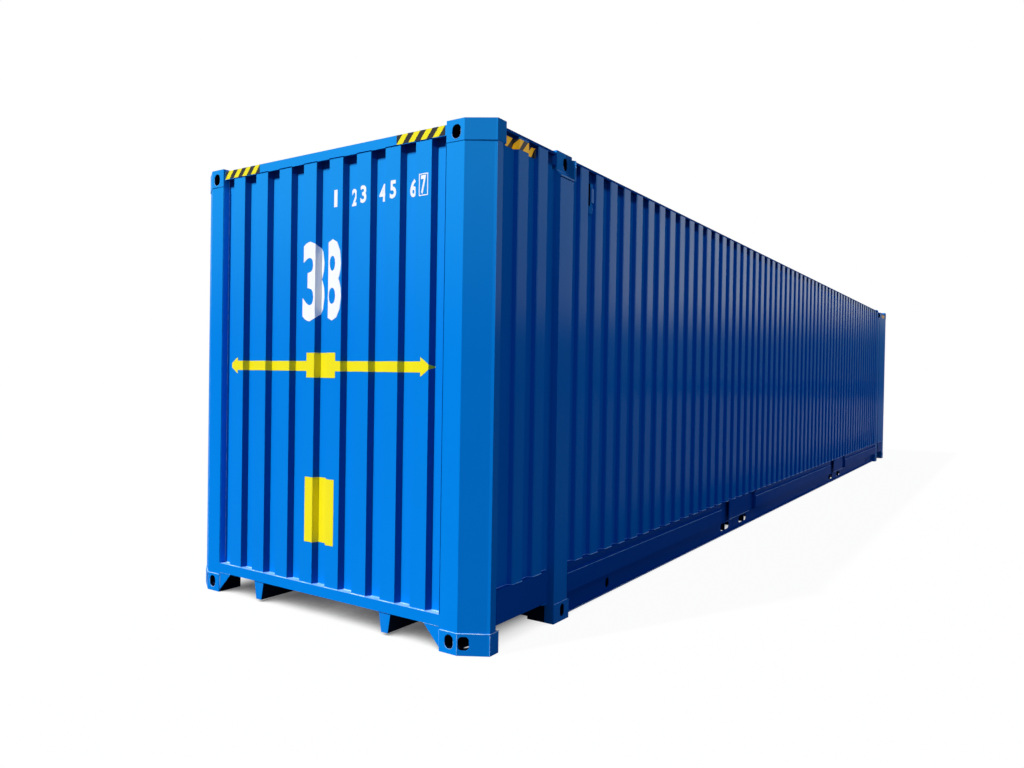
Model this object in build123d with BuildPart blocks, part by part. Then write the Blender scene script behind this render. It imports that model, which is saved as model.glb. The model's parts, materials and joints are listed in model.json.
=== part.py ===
from build123d import *
import os
from math import atan2, hypot, tan

os.makedirs("parts", exist_ok=True)

# The container stands on its castings at z = 0. X runs along its length with the
# blind front end at -X and the doors at +X. Y runs across it, the left side at -Y.

# Outside of the whole box
length = 13716
width = 2500
height = 2896

# Castings, the handling points at the eight outer corners and eight inner places
casting_length = 178
casting_width = 162
casting_height = 118
casting_wall = 18
casting_plate = 28
slot_length = 124
slot_width = 63.5
slot_from_end = 103.5
casting_edge = 6
overhang = 762
inner_step = 31
inner_casting_length = 190
slot_from_side = 89.5
eye_height = 79
eye_width = 51
eye_centre = 66
rear_casting_width = casting_width + inner_step

# Front corners, cut back by a chamfer
chamfer_across = 155
chamfer_along = 94
front_casting_width = 281
front_slot_from_side = 165
front_eye_width = 60
front_eye_from_side = 209.5
chamfer_eye_width = 61
chamfer_eye_height = 76
chamfer_eye_corner = 22
chamfer_eye_from_edge = 36

# Posts
post_setback = 3
post_plate = 6
front_post_inner_return = 55
front_post_side_depth = 60
front_post_step = 28
inner_post_width = 162
inner_post_depth = 58
inner_post_taper = 37
inner_post_ramp = 45
inner_post_ramp_drop = 25
rear_post_width = 112
rear_post_rebate = 30
rear_header_drop = 176

# Front end
sill_bottom = 136
sill_height = 64
sill_depth = 62
header_drop = 16
header_height = 58
header_setback = 10
header_depth = 58
frame_plate = 5
front_pitch = 230.3
front_crest = 114
front_run = 15
front_depth = 38
front_crest_setback = 8
gusset_across = 113
gusset_plate = 8
gusset_setback = 6
gusset_foot = 20

# Sheet
sheet = 2

# Side walls
side_pitch = 210.6
side_crest = 96
side_run = 16
overhang_crest_start = 172
overhang_crests = 2
overhang_gap = 58
overhang_gap_depth = 22
overhang_rail_gap = 30
wall_base = 345
wall_drop = 48

# Bottom side rails, a folded plate seen in section
rail_plate = 5
rail_top_flange = 62
rail_strip_foot = 288
rail_strip_setback = 18
rail_ledge = 280
rail_shoulder = 160
rail_web_setback = 58
rail_web_top = 132
rail_foot = 13
rail_foot_flange = 20
rail_slot_length = 250
rail_slot_height = 70
rail_slot_spacing = 560
rail_slot_centre = 80
drain_from_casting = 646
drain_height = 72
drain_tall = 70
drain_wide = 56
lift_span = 4876
lift_recess = 1100
lift_plate_length = 650
lift_plate_foot = 158
lift_plate = 6
lift_plate_setback = 1
lift_recess_depth = 40

# Overhang rails, raised at both ends
overhang_rail_bottom = 155
overhang_rail_flange = 50

# Top side rails
top_rail_drop = 34
top_rail_height = 62
top_rail_width = 60
top_rail_plate = 4
top_lip_gap = 52

# Roof
roof_inset = 60
roof_pitch = 209
roof_crest = 91
roof_run = 14
roof_depth = 20

# Floor and what carries it
floor_bottom = 155
floor_thickness = 28
floor_clearance = 4
beam_height = 122
beam_flange = 45
beam_plate = 4
beam_pitch = 305
tunnel_length = 3300
tunnel_width = 1029
tunnel_plate = 5
tunnel_roof = 124
tunnel_member_top = 90
tunnel_member_foot = 50
tunnel_member_bottom = 18
tunnel_member_plate = 5
tunnel_member_setback = 9
overhang_beam_height = 30
overhang_beam_places = (200, 400)
cross_beam_plate = 8

# Doors
door_clearance = 8
door_thickness = 50
door_recess = 62
door_frame = 90
door_gap = 16
door_sill_top = 158
door_header_drop = 12
door_corrugations = 3
door_panel_crest = 180
door_panel_run = 40
door_panel_depth = 34
bar_radius = 17
bar_standoff = 8
bar_from_edge = 270
hinge_count = 4
hinge_length = 160
hinge_radius = 14
handle_length = 480
handle_height = 38
handle_thickness = 10
handle_place = 1250
hinge_plate = 8
hinge_blade = 110
guide_width = 70
guide_height = 50
bar_foot = 60
bar_head_drop = 46
bar_guide_shares = (0.09, 0.31, 0.68, 0.9)
keeper_step = 30

# Ventilator covers
vent_wide = 60
vent_tall = 205
vent_deep = 18
vent_drop = 216
vent_taper = 20

# Places worked out from the sizes above
front_face = -length / 2
rear_face = length / 2
side_face = width / 2
inner_face = side_face - inner_step
inner_end = length / 2 - overhang
inner_back = inner_end - inner_casting_length
lock_line = inner_face - slot_from_side
front_casting_back = front_face + casting_length
rear_casting_front = rear_face - casting_length
rear_post_depth = casting_length
front_post_inside = side_face - front_casting_width
side_depth = inner_step - sheet
wall_top = height - wall_drop
top_rail_top = height - top_rail_drop
top_rail_bottom = top_rail_top - top_rail_height
header_bottom = height - header_drop - header_height
rear_header_bottom = height - rear_header_drop
door_header_top = height - door_header_drop
inner_post_front = inner_end - post_setback
inner_post_back = inner_post_front - inner_post_width
overhang_end = inner_post_front + overhang_gap
front_crest_face = front_face + front_crest_setback
sill_top = sill_bottom + sill_height
door_face = rear_face - door_recess
door_back = door_face - door_thickness


def save(piece, name):
    piece.label = name
    export_step(piece, f"parts/{name}.step")


def other_side(piece):
    """The same piece on the other long side."""
    with BuildPart() as twin:
        mirror(piece, about=Plane.XZ)
    return twin.part


def other_end(piece):
    """The same piece at the other end."""
    with BuildPart() as twin:
        mirror(piece, about=Plane.YZ)
    return twin.part


def joined(*pieces):
    """Separate solids of one kind, kept together under one name."""
    with BuildPart() as group:
        for piece in pieces:
            add(piece)
    return group.part


def folded(points, thickness, side=Side.LEFT):
    """A sketch of a plate folded along the given points."""
    with BuildSketch() as section:
        with BuildLine():
            Polyline(*points)
            offset(amount=thickness, side=side)
        make_face()
    return section.sketch


def corrugated(low, high, centres, crest, run, depth):
    """Sheet section from low to high: crests at z 0, valleys at -depth."""
    shift = sheet * tan(atan2(depth, run) / 2)
    outer = [(low, -depth)]
    inner = [(low, -depth - sheet)]
    for centre in centres:
        for step, level in (
            (-crest / 2 - run, -depth),
            (-crest / 2, 0),
            (crest / 2, 0),
            (crest / 2 + run, -depth),
        ):
            outer.append((centre + step, level))
            towards = shift if step < 0 else -shift
            inner.append((centre + step + towards, level - sheet))
    outer.append((high, -depth))
    inner.append((high, -depth - sheet))
    with BuildSketch() as section:
        with BuildLine():
            Polyline(*outer, *reversed(inner), close=True)
        make_face()
    return section.sketch


def evenly(count, pitch):
    """Places of a row that is centred on zero."""
    return [(number - (count - 1) / 2) * pitch for number in range(count)]


def crests_within(half_length, pitch, crest, run):
    """Places of as many whole crests as fit each side of zero."""
    return evenly(int((2 * half_length - crest - 2 * run) // pitch) + 1, pitch)


def casting_box(low_x, high_x, near_y, far_y, low_z):
    """A hollow casting before its eyes and slot are cut."""
    with BuildPart() as box:
        with BuildSketch(Plane.XY.offset(low_z)):
            with Locations(((low_x + high_x) / 2, -(near_y + far_y) / 2)):
                RectangleRounded(high_x - low_x, far_y - near_y, casting_edge)
        extrude(amount=casting_height)
        with BuildSketch(Plane.XY.offset(low_z + casting_plate)):
            with Locations(((low_x + high_x) / 2, -(near_y + far_y) / 2)):
                Rectangle(high_x - low_x - 2 * casting_wall, far_y - near_y - 2 * casting_wall)
        extrude(amount=casting_height - 2 * casting_plate, mode=Mode.SUBTRACT)
    return box.part


def slotted(box, low_z, x, y):
    """A casting with the twistlock slot in its outer plate."""
    top = low_z > height / 2
    start = low_z + casting_height - casting_plate if top else low_z
    with BuildPart() as piece:
        add(box)
        with BuildSketch(Plane.XY.offset(start)):
            with Locations((x, y)):
                SlotOverall(slot_length, slot_width)
        extrude(amount=casting_plate, mode=Mode.SUBTRACT)
    return piece.part


def eye(piece, plane, wide, tall, deep):
    """A casting with an upright eye cut in from a plane on its face."""
    with BuildPart() as cut:
        add(piece)
        with BuildSketch(plane):
            SlotOverall(tall, wide, rotation=90)
        extrude(amount=-deep, mode=Mode.SUBTRACT)
    return cut.part


def eye_level(low_z):
    return low_z + (casting_height - eye_centre if low_z > height / 2 else eye_centre)


def front_casting(low_z):
    """Left front casting with its chamfered corner."""
    outline = [
        (front_face, -front_post_inside),
        (front_face, -side_face + chamfer_across),
        (front_face + chamfer_along, -side_face),
        (front_casting_back, -side_face),
        (front_casting_back, -front_post_inside),
    ]
    with BuildPart() as box:
        with BuildSketch(Plane.XY.offset(low_z)) as plan:
            with BuildLine():
                Polyline(*outline, close=True)
            make_face()
        extrude(amount=casting_height)
        fillet(box.edges().filter_by(Axis.Z), casting_edge)
        with BuildSketch(Plane.XY.offset(low_z + casting_plate)):
            add(plan.sketch_local)
            offset(amount=-casting_wall, kind=Kind.INTERSECTION, mode=Mode.REPLACE)
        extrude(amount=casting_height - 2 * casting_plate, mode=Mode.SUBTRACT)
    slot_place = front_face + slot_from_end + casting_wall / 2
    piece = slotted(box.part, low_z, slot_place, -side_face + front_slot_from_side)
    face = Plane(
        origin=(front_face, -side_face + front_eye_from_side, eye_level(low_z)),
        x_dir=(0, -1, 0),
        z_dir=(-1, 0, 0),
    )
    piece = eye(piece, face, front_eye_width, eye_height, casting_wall)
    if low_z < height / 2:
        slope = hypot(chamfer_across, chamfer_along)
        across, along = chamfer_across / slope, chamfer_along / slope
        corner = Plane(
            origin=(
                front_face + along * chamfer_eye_from_edge,
                -side_face + chamfer_across - across * chamfer_eye_from_edge,
                eye_level(low_z),
            ),
            x_dir=(along, -across, 0),
            z_dir=(-across, -along, 0),
        )
        with BuildPart() as cut:
            add(piece)
            with BuildSketch(corner):
                RectangleRounded(chamfer_eye_width, chamfer_eye_height, chamfer_eye_corner)
            extrude(amount=-2 * casting_wall, mode=Mode.SUBTRACT)
        piece = cut.part
    return piece


def inner_casting(low_z):
    """Left front casting at the inner lifting place, the bottom one flush with the side."""
    outside = inner_face if low_z > height / 2 else side_face
    box = casting_box(-inner_end, -inner_back, inner_face - casting_width, outside, low_z)
    slot_place = -inner_end + slot_from_end
    piece = slotted(box, low_z, slot_place, -lock_line)
    side = Plane(origin=(slot_place, -outside, eye_level(low_z)), x_dir=(1, 0, 0), z_dir=(0, -1, 0))
    return eye(piece, side, eye_width, eye_height, casting_wall)


def rear_casting(low_z):
    """Left rear casting with square corners."""
    near = side_face - rear_casting_width
    box = casting_box(rear_casting_front, rear_face, near, side_face, low_z)
    slot_place = rear_face - slot_from_end
    piece = slotted(box, low_z, slot_place, -lock_line)
    side = Plane(origin=(slot_place, -side_face, eye_level(low_z)), x_dir=(1, 0, 0), z_dir=(0, -1, 0))
    end = Plane(origin=(rear_face, -lock_line, eye_level(low_z)), x_dir=(0, 1, 0), z_dir=(1, 0, 0))
    piece = eye(piece, side, eye_width, eye_height, casting_wall)
    return eye(piece, end, front_eye_width, eye_height, casting_wall)


for level_name, level in (("bottom", 0), ("top", height - casting_height)):
    front = front_casting(level)
    save(joined(front, other_side(front)), f"front_castings_{level_name}")
    rear = rear_casting(level)
    save(joined(rear, other_side(rear)), f"rear_castings_{level_name}")
    inner = inner_casting(level)
    pair = joined(inner, other_side(inner))
    save(pair, f"inner_castings_front_{level_name}")
    save(other_end(pair), f"inner_castings_rear_{level_name}")


def front_post():
    """Left front corner post, a hollow folded section that steps in to meet the wall sheet."""
    front = front_face + post_setback
    side = side_face - post_setback
    step_x = front_casting_back - front_post_step
    step_y = -inner_face - sheet
    outline = [
        (front, -front_post_inside + post_setback),
        (front, -side_face + chamfer_across),
        (front + chamfer_along, -side),
        (step_x, -side),
        (step_x, step_y),
        (front_casting_back, step_y),
        (front_casting_back, -side + front_post_side_depth),
        (front + front_post_inner_return, -front_post_inside + post_setback),
    ]
    with BuildPart() as post:
        with BuildSketch(Plane.XY.offset(casting_height)):
            with BuildLine():
                Polyline(*outline, close=True)
            make_face()
            offset(amount=-post_plate, kind=Kind.INTERSECTION, mode=Mode.SUBTRACT)
        extrude(amount=height - 2 * casting_height)
    return post.part


def inner_post():
    """Left front post between the two inner castings, tapered in and ramped out around the top one."""
    top = height - casting_height
    inside = -inner_face + inner_post_depth
    outside = -side_face + post_setback
    outline = [
        (outside, casting_height),
        (inside, casting_height),
        (inside, top),
        (-inner_face, top),
        (outside, top - inner_post_taper),
    ]
    with BuildPart() as post:
        with BuildSketch(Plane.YZ.offset(-inner_post_front)) as face:
            with BuildLine():
                Polyline(*outline, close=True)
            make_face()
        extrude(amount=inner_post_width)
        with BuildSketch(Plane.YZ.offset(-inner_post_front + post_plate)):
            add(face.sketch_local)
            offset(amount=-post_plate, kind=Kind.INTERSECTION, mode=Mode.REPLACE)
        extrude(amount=inner_post_width - 2 * post_plate, mode=Mode.SUBTRACT)
        with BuildSketch(Plane.XY.offset(casting_height)):
            with Locations((-inner_post_front - overhang_gap / 2, -inner_face + overhang_gap_depth)):
                Rectangle(overhang_gap, post_plate)
        extrude(amount=top - casting_height)
        with BuildSketch(Plane.XY.offset(top - inner_post_taper)):
            with BuildLine():
                Polyline(
                    (-inner_back - inner_post_ramp, -inner_face),
                    (-inner_back, outside),
                    (-inner_back, -inner_face - sheet),
                    (-inner_post_back, -inner_face - sheet),
                    (-inner_post_back, -inner_face),
                    close=True,
                )
            make_face()
        extrude(amount=casting_height + inner_post_taper - inner_post_ramp_drop)
    return post.part


def rear_post():
    """Left rear corner post with the rebate that the door closes against."""
    side = side_face - post_setback
    back = rear_face - post_setback
    front = rear_casting_front
    outline = [
        (front, -side),
        (back, -side),
        (back, -side + rear_post_width - rear_post_rebate),
        (door_back - door_clearance, -side + rear_post_width - rear_post_rebate),
        (door_back - door_clearance, -side + rear_post_width),
        (front, -side + rear_post_width),
    ]
    with BuildPart() as post:
        with BuildSketch(Plane.XY.offset(casting_height)):
            with BuildLine():
                Polyline(*outline, close=True)
            make_face()
            offset(amount=-post_plate, kind=Kind.INTERSECTION, mode=Mode.SUBTRACT)
        extrude(amount=height - 2 * casting_height)
    return post.part


left_front_post = front_post()
save(left_front_post, "front_post_left")
save(other_side(left_front_post), "front_post_right")
left_inner_post = inner_post()
inner_posts = joined(left_inner_post, other_side(left_inner_post))
save(inner_posts, "inner_posts_front")
save(other_end(inner_posts), "inner_posts_rear")
left_rear_post = rear_post()
save(left_rear_post, "rear_post_left")
save(other_side(left_rear_post), "rear_post_right")


# Front end: sill, header, corrugated wall and the gussets beside the castings
def hollow_bar(low_x, high_x, low_z, high_z, half_width, wall):
    with BuildPart() as bar:
        with BuildSketch(Plane.XZ.offset(-half_width)):
            with Locations(((low_x + high_x) / 2, (low_z + high_z) / 2)):
                Rectangle(high_x - low_x, high_z - low_z)
                Rectangle(high_x - low_x - 2 * wall, high_z - low_z - 2 * wall, mode=Mode.SUBTRACT)
        extrude(amount=2 * half_width)
    return bar.part


frame_inside = front_post_inside - post_setback
sill_front = front_face + post_setback
save(
    hollow_bar(sill_front, sill_front + sill_depth, sill_bottom, sill_top, frame_inside, frame_plate),
    "front_sill",
)
header_front = front_face + header_setback
save(
    hollow_bar(
        header_front,
        header_front + header_depth,
        header_bottom,
        header_bottom + header_height,
        frame_inside,
        frame_plate,
    ),
    "front_header",
)

with BuildPart() as front_wall:
    with BuildSketch(Plane.XY.offset(sill_top)):
        add(
            corrugated(
                -frame_inside,
                frame_inside,
                crests_within(frame_inside, front_pitch, front_crest, front_run),
                front_crest,
                front_run,
                front_depth,
            ).moved(Location((front_crest_face, 0, 0), (0, 0, 90)))
        )
    extrude(amount=header_bottom - sill_top)
save(front_wall.part, "front_wall")

gusset_face = front_face + gusset_setback
with BuildPart() as gusset:
    with BuildSketch(Plane.YZ.offset(gusset_face)):
        with BuildLine():
            Polyline(
                (-frame_inside, gusset_foot),
                (-frame_inside, sill_bottom),
                (-frame_inside + gusset_across, sill_bottom),
                close=True,
            )
        make_face()
    extrude(amount=gusset_plate)
save(joined(gusset.part, other_side(gusset.part)), "front_gussets")


# Bottom side rails
rail_outline = [
    (-side_face + rail_top_flange, wall_base),
    (-side_face, wall_base),
    (-side_face + rail_strip_setback, rail_strip_foot),
    (-side_face, rail_ledge),
    (-side_face, rail_shoulder),
    (-side_face + rail_web_setback, rail_web_top),
    (-side_face + rail_web_setback, rail_foot),
    (-side_face + rail_web_setback - rail_foot_flange, rail_foot),
]
recess_face = -side_face + lift_recess_depth
lift_places = (-lift_span / 2, lift_span / 2)
drain_place = inner_back - drain_from_casting


def rail_closing(inside, corners):
    """A sketch of a plate that closes the bottom rail from its skin to a given depth."""
    skin = [(y + rail_plate / 2, z - rail_plate / 2) for y, z in rail_outline[1:corners]]
    with BuildSketch() as section:
        with BuildLine():
            Polyline((inside, wall_base - rail_plate / 2), *skin, (inside, skin[-1][1]), close=True)
        make_face()
    return section.sketch


def bottom_rail():
    """Left bottom rail between the inner posts, with its lifting recesses and closed ends."""
    web_face = Plane(origin=(0, -side_face, 0), x_dir=(1, 0, 0), z_dir=(0, -1, 0))
    through = rail_web_setback + 2 * rail_plate
    flange_middle = wall_base - rail_plate / 2
    recess_foot = (rail_shoulder + rail_web_top) / 2
    recess_end = rail_closing(recess_face + rail_plate / 2, 5)
    rail_end = rail_closing(-side_face + rail_web_setback + rail_plate, 6)
    with BuildPart() as rail:
        with BuildSketch(Plane.YZ.offset(-inner_post_back)):
            add(folded(rail_outline, rail_plate, Side.LEFT))
        extrude(amount=2 * inner_post_back)
        for end in (-1, 1):
            with BuildSketch(Plane.YZ.offset(end * inner_post_back)):
                add(rail_end)
            extrude(amount=-end * rail_plate)
            with Locations((end * inner_post_back, -side_face, 0)):
                Box(
                    2 * (inner_post_back - inner_back),
                    2 * casting_width,
                    2 * casting_height,
                    mode=Mode.SUBTRACT,
                )
        for place in lift_places:
            recess_top = wall_base - rail_plate
            with BuildSketch(web_face):
                with Locations((place, (recess_foot + recess_top) / 2)):
                    Rectangle(lift_recess, recess_top - recess_foot)
            extrude(amount=-lift_recess_depth, mode=Mode.SUBTRACT)
            back_foot = recess_foot - rail_plate
            with BuildSketch(web_face.offset(-lift_recess_depth)):
                with Locations((place, (back_foot + flange_middle) / 2)):
                    Rectangle(lift_recess + rail_plate, flange_middle - back_foot)
            extrude(amount=-rail_plate)
            with BuildSketch(web_face.offset(-lift_plate_setback)):
                with Locations((place, (lift_plate_foot + flange_middle) / 2)):
                    Rectangle(lift_plate_length, flange_middle - lift_plate_foot)
            extrude(amount=-lift_plate)
            for end in (-1, 1):
                with BuildSketch(Plane.YZ.offset(place + end * lift_recess / 2)):
                    add(recess_end)
                extrude(amount=end * rail_plate)
            with BuildSketch(web_face):
                for step in (-rail_slot_spacing / 2, rail_slot_spacing / 2):
                    with Locations((place + step, rail_slot_centre)):
                        SlotOverall(rail_slot_length, rail_slot_height)
            extrude(amount=-through, mode=Mode.SUBTRACT)
        with BuildSketch(web_face):
            for end in (-1, 1):
                with Locations((end * drain_place, drain_height)):
                    SlotOverall(drain_tall, drain_wide, rotation=90)
        extrude(amount=-through, mode=Mode.SUBTRACT)
    return rail.part


left_rail = bottom_rail()
save(left_rail, "bottom_rail_left")
save(other_side(left_rail), "bottom_rail_right")


def overhang_rail(low_x, high_x):
    """Left raised rail, a channel open to the inside."""
    outline = [
        (-side_face + overhang_rail_flange, wall_base),
        (-side_face, wall_base),
        (-side_face, overhang_rail_bottom),
        (-side_face + overhang_rail_flange, overhang_rail_bottom),
    ]
    with BuildPart() as rail:
        with BuildSketch(Plane.YZ.offset(low_x)):
            add(folded(outline, rail_plate, Side.LEFT))
        extrude(amount=high_x - low_x)
    return rail.part


overhang_rail_end = overhang_end + overhang_rail_gap
with BuildPart() as front_rail:
    add(overhang_rail(front_casting_back, -overhang_rail_end))
    with Locations(
        (
            front_casting_back - front_post_step / 2,
            -side_face + rail_plate / 2,
            (wall_base + overhang_rail_bottom) / 2,
        )
    ):
        Box(front_post_step, rail_plate, wall_base - overhang_rail_bottom)
save(joined(front_rail.part, other_side(front_rail.part)), "overhang_rails_front")
rear_rail = overhang_rail(overhang_rail_end, rear_casting_front)
save(joined(rear_rail, other_side(rear_rail)), "overhang_rails_rear")


# Top side rails
def top_rail(low_x, high_x, lip_low, lip_high):
    """Left top rail: a hollow bar with a lip over the corrugations."""
    with BuildPart() as rail:
        with BuildSketch(Plane.YZ.offset(low_x)):
            with Locations((-inner_face + top_rail_width / 2, (top_rail_bottom + top_rail_top) / 2)):
                Rectangle(top_rail_width, top_rail_height)
                offset(amount=-top_rail_plate, kind=Kind.INTERSECTION, mode=Mode.SUBTRACT)
        extrude(amount=high_x - low_x)
        with BuildSketch(Plane.YZ.offset(lip_low)):
            with Locations((-(side_face + inner_face) / 2, (wall_top + top_rail_top) / 2)):
                Rectangle(inner_step, top_rail_top - wall_top)
        extrude(amount=lip_high - lip_low)
    return rail.part


front_top_rail = top_rail(front_casting_back, -inner_end, front_casting_back, -inner_end - top_lip_gap)
left_top_rail = joined(
    front_top_rail,
    top_rail(-inner_back, inner_back, -inner_back, inner_back),
    other_end(front_top_rail),
)
save(left_top_rail, "top_rail_left")
save(other_side(left_top_rail), "top_rail_right")


# Side walls
def side_sheet(low_x, high_x, centres, base):
    """Left corrugated side sheet between two posts."""
    with BuildPart() as wall:
        with BuildSketch(Plane.XY.offset(base)):
            add(
                corrugated(low_x, high_x, centres, side_crest, side_run, side_depth).moved(
                    Location((0, -side_face, 0), (180, 0, 0))
                )
            )
        extrude(amount=wall_top - base)
    return wall.part


main_crests = crests_within(inner_post_back, side_pitch, side_crest, side_run)
main_wall = side_sheet(-inner_post_back, inner_post_back, main_crests, wall_base)
save(main_wall, "side_wall_left")
save(other_side(main_wall), "side_wall_right")


def overhang_return(low_x, outside):
    """The left upright strip that closes an overhang wall against the inner post."""
    inside = -inner_face + overhang_gap_depth - post_plate / 2
    with BuildPart() as strip:
        with BuildSketch(Plane.XY.offset(wall_base)):
            with Locations((low_x + sheet / 2, (outside + inside) / 2)):
                Rectangle(sheet, inside - outside)
        extrude(amount=height - casting_height - wall_base)
    return strip.part


overhang_crest_places = [
    front_casting_back + overhang_crest_start + number * side_pitch for number in range(overhang_crests)
]
with BuildPart() as front_overhang:
    add(side_sheet(front_casting_back, -overhang_end, overhang_crest_places, wall_base))
    add(overhang_return(-overhang_end - sheet, -inner_face - sheet))
save(joined(front_overhang.part, other_side(front_overhang.part)), "overhang_walls_front")
flat_face = -side_face + post_setback
with BuildPart() as rear_overhang:
    with BuildSketch(Plane.XY.offset(wall_base)):
        with Locations(((overhang_end + rear_casting_front) / 2, flat_face + sheet / 2)):
            Rectangle(rear_casting_front - overhang_end, sheet)
    extrude(amount=wall_top - wall_base)
    add(overhang_return(overhang_end, flat_face))
save(joined(rear_overhang.part, other_side(rear_overhang.part)), "overhang_walls_rear")


# Roof, pressed across the box, cut clear of the castings
roof_front = header_front + header_depth
roof_back = rear_casting_front
roof_half_width = side_face - roof_inset
with BuildPart() as roof:
    with BuildSketch(Plane.XZ.offset(-roof_half_width)):
        add(
            corrugated(
                roof_front,
                roof_back,
                crests_within(roof_back, roof_pitch, roof_crest, roof_run),
                roof_crest,
                roof_run,
                roof_depth,
            ).moved(Location((0, top_rail_top + sheet + roof_depth, 0)))
        )
    extrude(amount=2 * roof_half_width)
    with BuildSketch(Plane.XY.offset(top_rail_top - sheet)):
        for side in (-1, 1):
            with Locations(
                (-(inner_end + inner_back) / 2, side * (inner_face - casting_width / 2)),
                ((inner_end + inner_back) / 2, side * (inner_face - casting_width / 2)),
            ):
                Rectangle(inner_casting_length, casting_width)
            with Locations((front_face, side * side_face)):
                Rectangle(2 * casting_length, 2 * front_casting_width)
            with Locations((rear_face, side * side_face)):
                Rectangle(2 * casting_length, 2 * rear_casting_width)
    extrude(amount=height, mode=Mode.SUBTRACT)
save(roof.part, "roof")


# Floor
floor_top = floor_bottom + floor_thickness
floor_side = side_face - rail_web_setback - rail_plate - floor_clearance
sill_back = sill_front + sill_depth
floor_front = sill_back + floor_clearance
floor_back = rear_casting_front - floor_clearance
post_inside = inner_face - inner_post_depth - floor_clearance
with BuildPart() as floor:
    with BuildSketch(Plane.XY.offset(floor_bottom)):
        with Locations(((floor_front + floor_back) / 2, 0)):
            Rectangle(floor_back - floor_front, 2 * floor_side)
        for side in (-1, 1):
            with Locations((front_face, side * side_face)):
                Rectangle(
                    2 * (casting_length + floor_clearance),
                    2 * (front_casting_width + post_setback + floor_clearance),
                    mode=Mode.SUBTRACT,
                )
            for end in (-1, 1):
                with Locations((end * (overhang_end + inner_post_back) / 2, side * side_face)):
                    Rectangle(
                        overhang_end - inner_post_back + 2 * floor_clearance,
                        2 * (side_face - post_inside),
                        mode=Mode.SUBTRACT,
                    )
    extrude(amount=floor_thickness)
save(floor.part, "floor")


# Floor beams, channels that open towards the doors
def beam(x, low_y, high_y, low_z):
    """One folded channel across the box, its web at x."""
    outline = [
        (x + beam_flange, floor_bottom),
        (x, floor_bottom),
        (x, low_z),
        (x + beam_flange, low_z),
    ]
    with BuildPart() as channel:
        with BuildSketch(Plane.XZ.offset(-high_y)):
            add(folded(outline, beam_plate, Side.LEFT))
        extrude(amount=high_y - low_y)
    return channel.part


beam_foot = floor_bottom - beam_height
overhang_foot = floor_bottom - overhang_beam_height
web_inside = side_face - rail_web_setback - rail_plate
first_beam = -inner_back + beam_pitch / 2
tunnel_end = front_face + tunnel_length
member_outside = tunnel_width / 2 + tunnel_member_top
beam_count = int(2 * inner_back // beam_pitch)
beam_places = [first_beam + number * beam_pitch for number in range(beam_count)]
main_places = [x for x in beam_places if x > tunnel_end]
main_beams = [beam(x, -web_inside, web_inside, beam_foot) for x in main_places]
main_beams += [
    beam(inner_end + step - beam_flange, -web_inside, web_inside, overhang_foot)
    for step in overhang_beam_places
]
save(joined(*main_beams), "floor_beams")
front_places = [x for x in beam_places if x < tunnel_end - beam_flange]
outriggers = [beam(x, member_outside, web_inside, beam_foot) for x in front_places]
overhang_front_places = [-inner_end - step for step in overhang_beam_places]
outriggers += [beam(x, member_outside, web_inside, overhang_foot) for x in overhang_front_places]
save(joined(*outriggers, *[other_side(piece) for piece in outriggers]), "outriggers")
shallow_foot = tunnel_roof + tunnel_plate
shallow_places = front_places + overhang_front_places
shallow = [beam(x, -tunnel_width / 2, tunnel_width / 2, shallow_foot) for x in shallow_places]
save(joined(*shallow), "tunnel_beams")

# Tunnel for a trailer's gooseneck: a roof plate between two tapered members
with BuildPart() as tunnel_roof_plate:
    with BuildSketch(Plane.XY.offset(tunnel_roof)):
        with Locations(((sill_back + tunnel_end) / 2, 0)):
            Rectangle(tunnel_end - sill_back, tunnel_width)
    extrude(amount=tunnel_plate)
save(tunnel_roof_plate.part, "tunnel_roof")

foot_inset = (tunnel_member_top - tunnel_member_foot) / 2
member_outline = [
    (tunnel_width / 2, floor_bottom),
    (tunnel_width / 2, sill_bottom),
    (tunnel_width / 2 + foot_inset, tunnel_member_bottom),
    (member_outside - foot_inset, tunnel_member_bottom),
    (member_outside, sill_bottom),
    (member_outside, floor_bottom),
]
member_front = front_face + tunnel_member_setback
with BuildPart() as member:
    with BuildSketch(Plane.YZ.offset(member_front)):
        with BuildLine():
            Polyline(*member_outline, close=True)
        make_face()
    extrude(amount=tunnel_end - member_front)
    with BuildSketch(Plane.YZ.offset(member_front + tunnel_member_plate)):
        with BuildLine():
            Polyline(*member_outline, close=True)
        make_face()
        offset(amount=-tunnel_member_plate, kind=Kind.INTERSECTION, mode=Mode.REPLACE)
    extrude(amount=tunnel_end - member_front - 2 * tunnel_member_plate, mode=Mode.SUBTRACT)
    with BuildSketch(Plane.XZ.offset(-member_outside)):
        with Locations(((member_front + sill_back) / 2, (sill_bottom + sill_top) / 2)):
            Rectangle(sill_back - member_front, sill_height)
    extrude(amount=member_outside, mode=Mode.SUBTRACT)
save(joined(member.part, other_side(member.part)), "tunnel_members")


# Heavy beams between the inner castings
def cross_beam(low_x, high_x, low_y, high_y, low_z):
    with BuildPart() as bar:
        with BuildSketch(Plane.XZ.offset(-high_y)):
            with Locations(((low_x + high_x) / 2, (low_z + floor_bottom) / 2)):
                Rectangle(high_x - low_x, floor_bottom - low_z)
                offset(amount=-cross_beam_plate, mode=Mode.SUBTRACT)
        extrude(amount=high_y - low_y)
    return bar.part


casting_inside = inner_face - casting_width
front_cross = cross_beam(-inner_end, -inner_back, member_outside, casting_inside, tunnel_member_bottom)
rear_cross = cross_beam(inner_back, inner_end, -casting_inside, casting_inside, tunnel_member_bottom)
save(joined(front_cross, other_side(front_cross), rear_cross), "cross_beams")


# Door frame: sill and header between the rear castings and posts
post_gap = side_face - post_setback - rear_post_width
casting_gap = side_face - rear_casting_width


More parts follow.
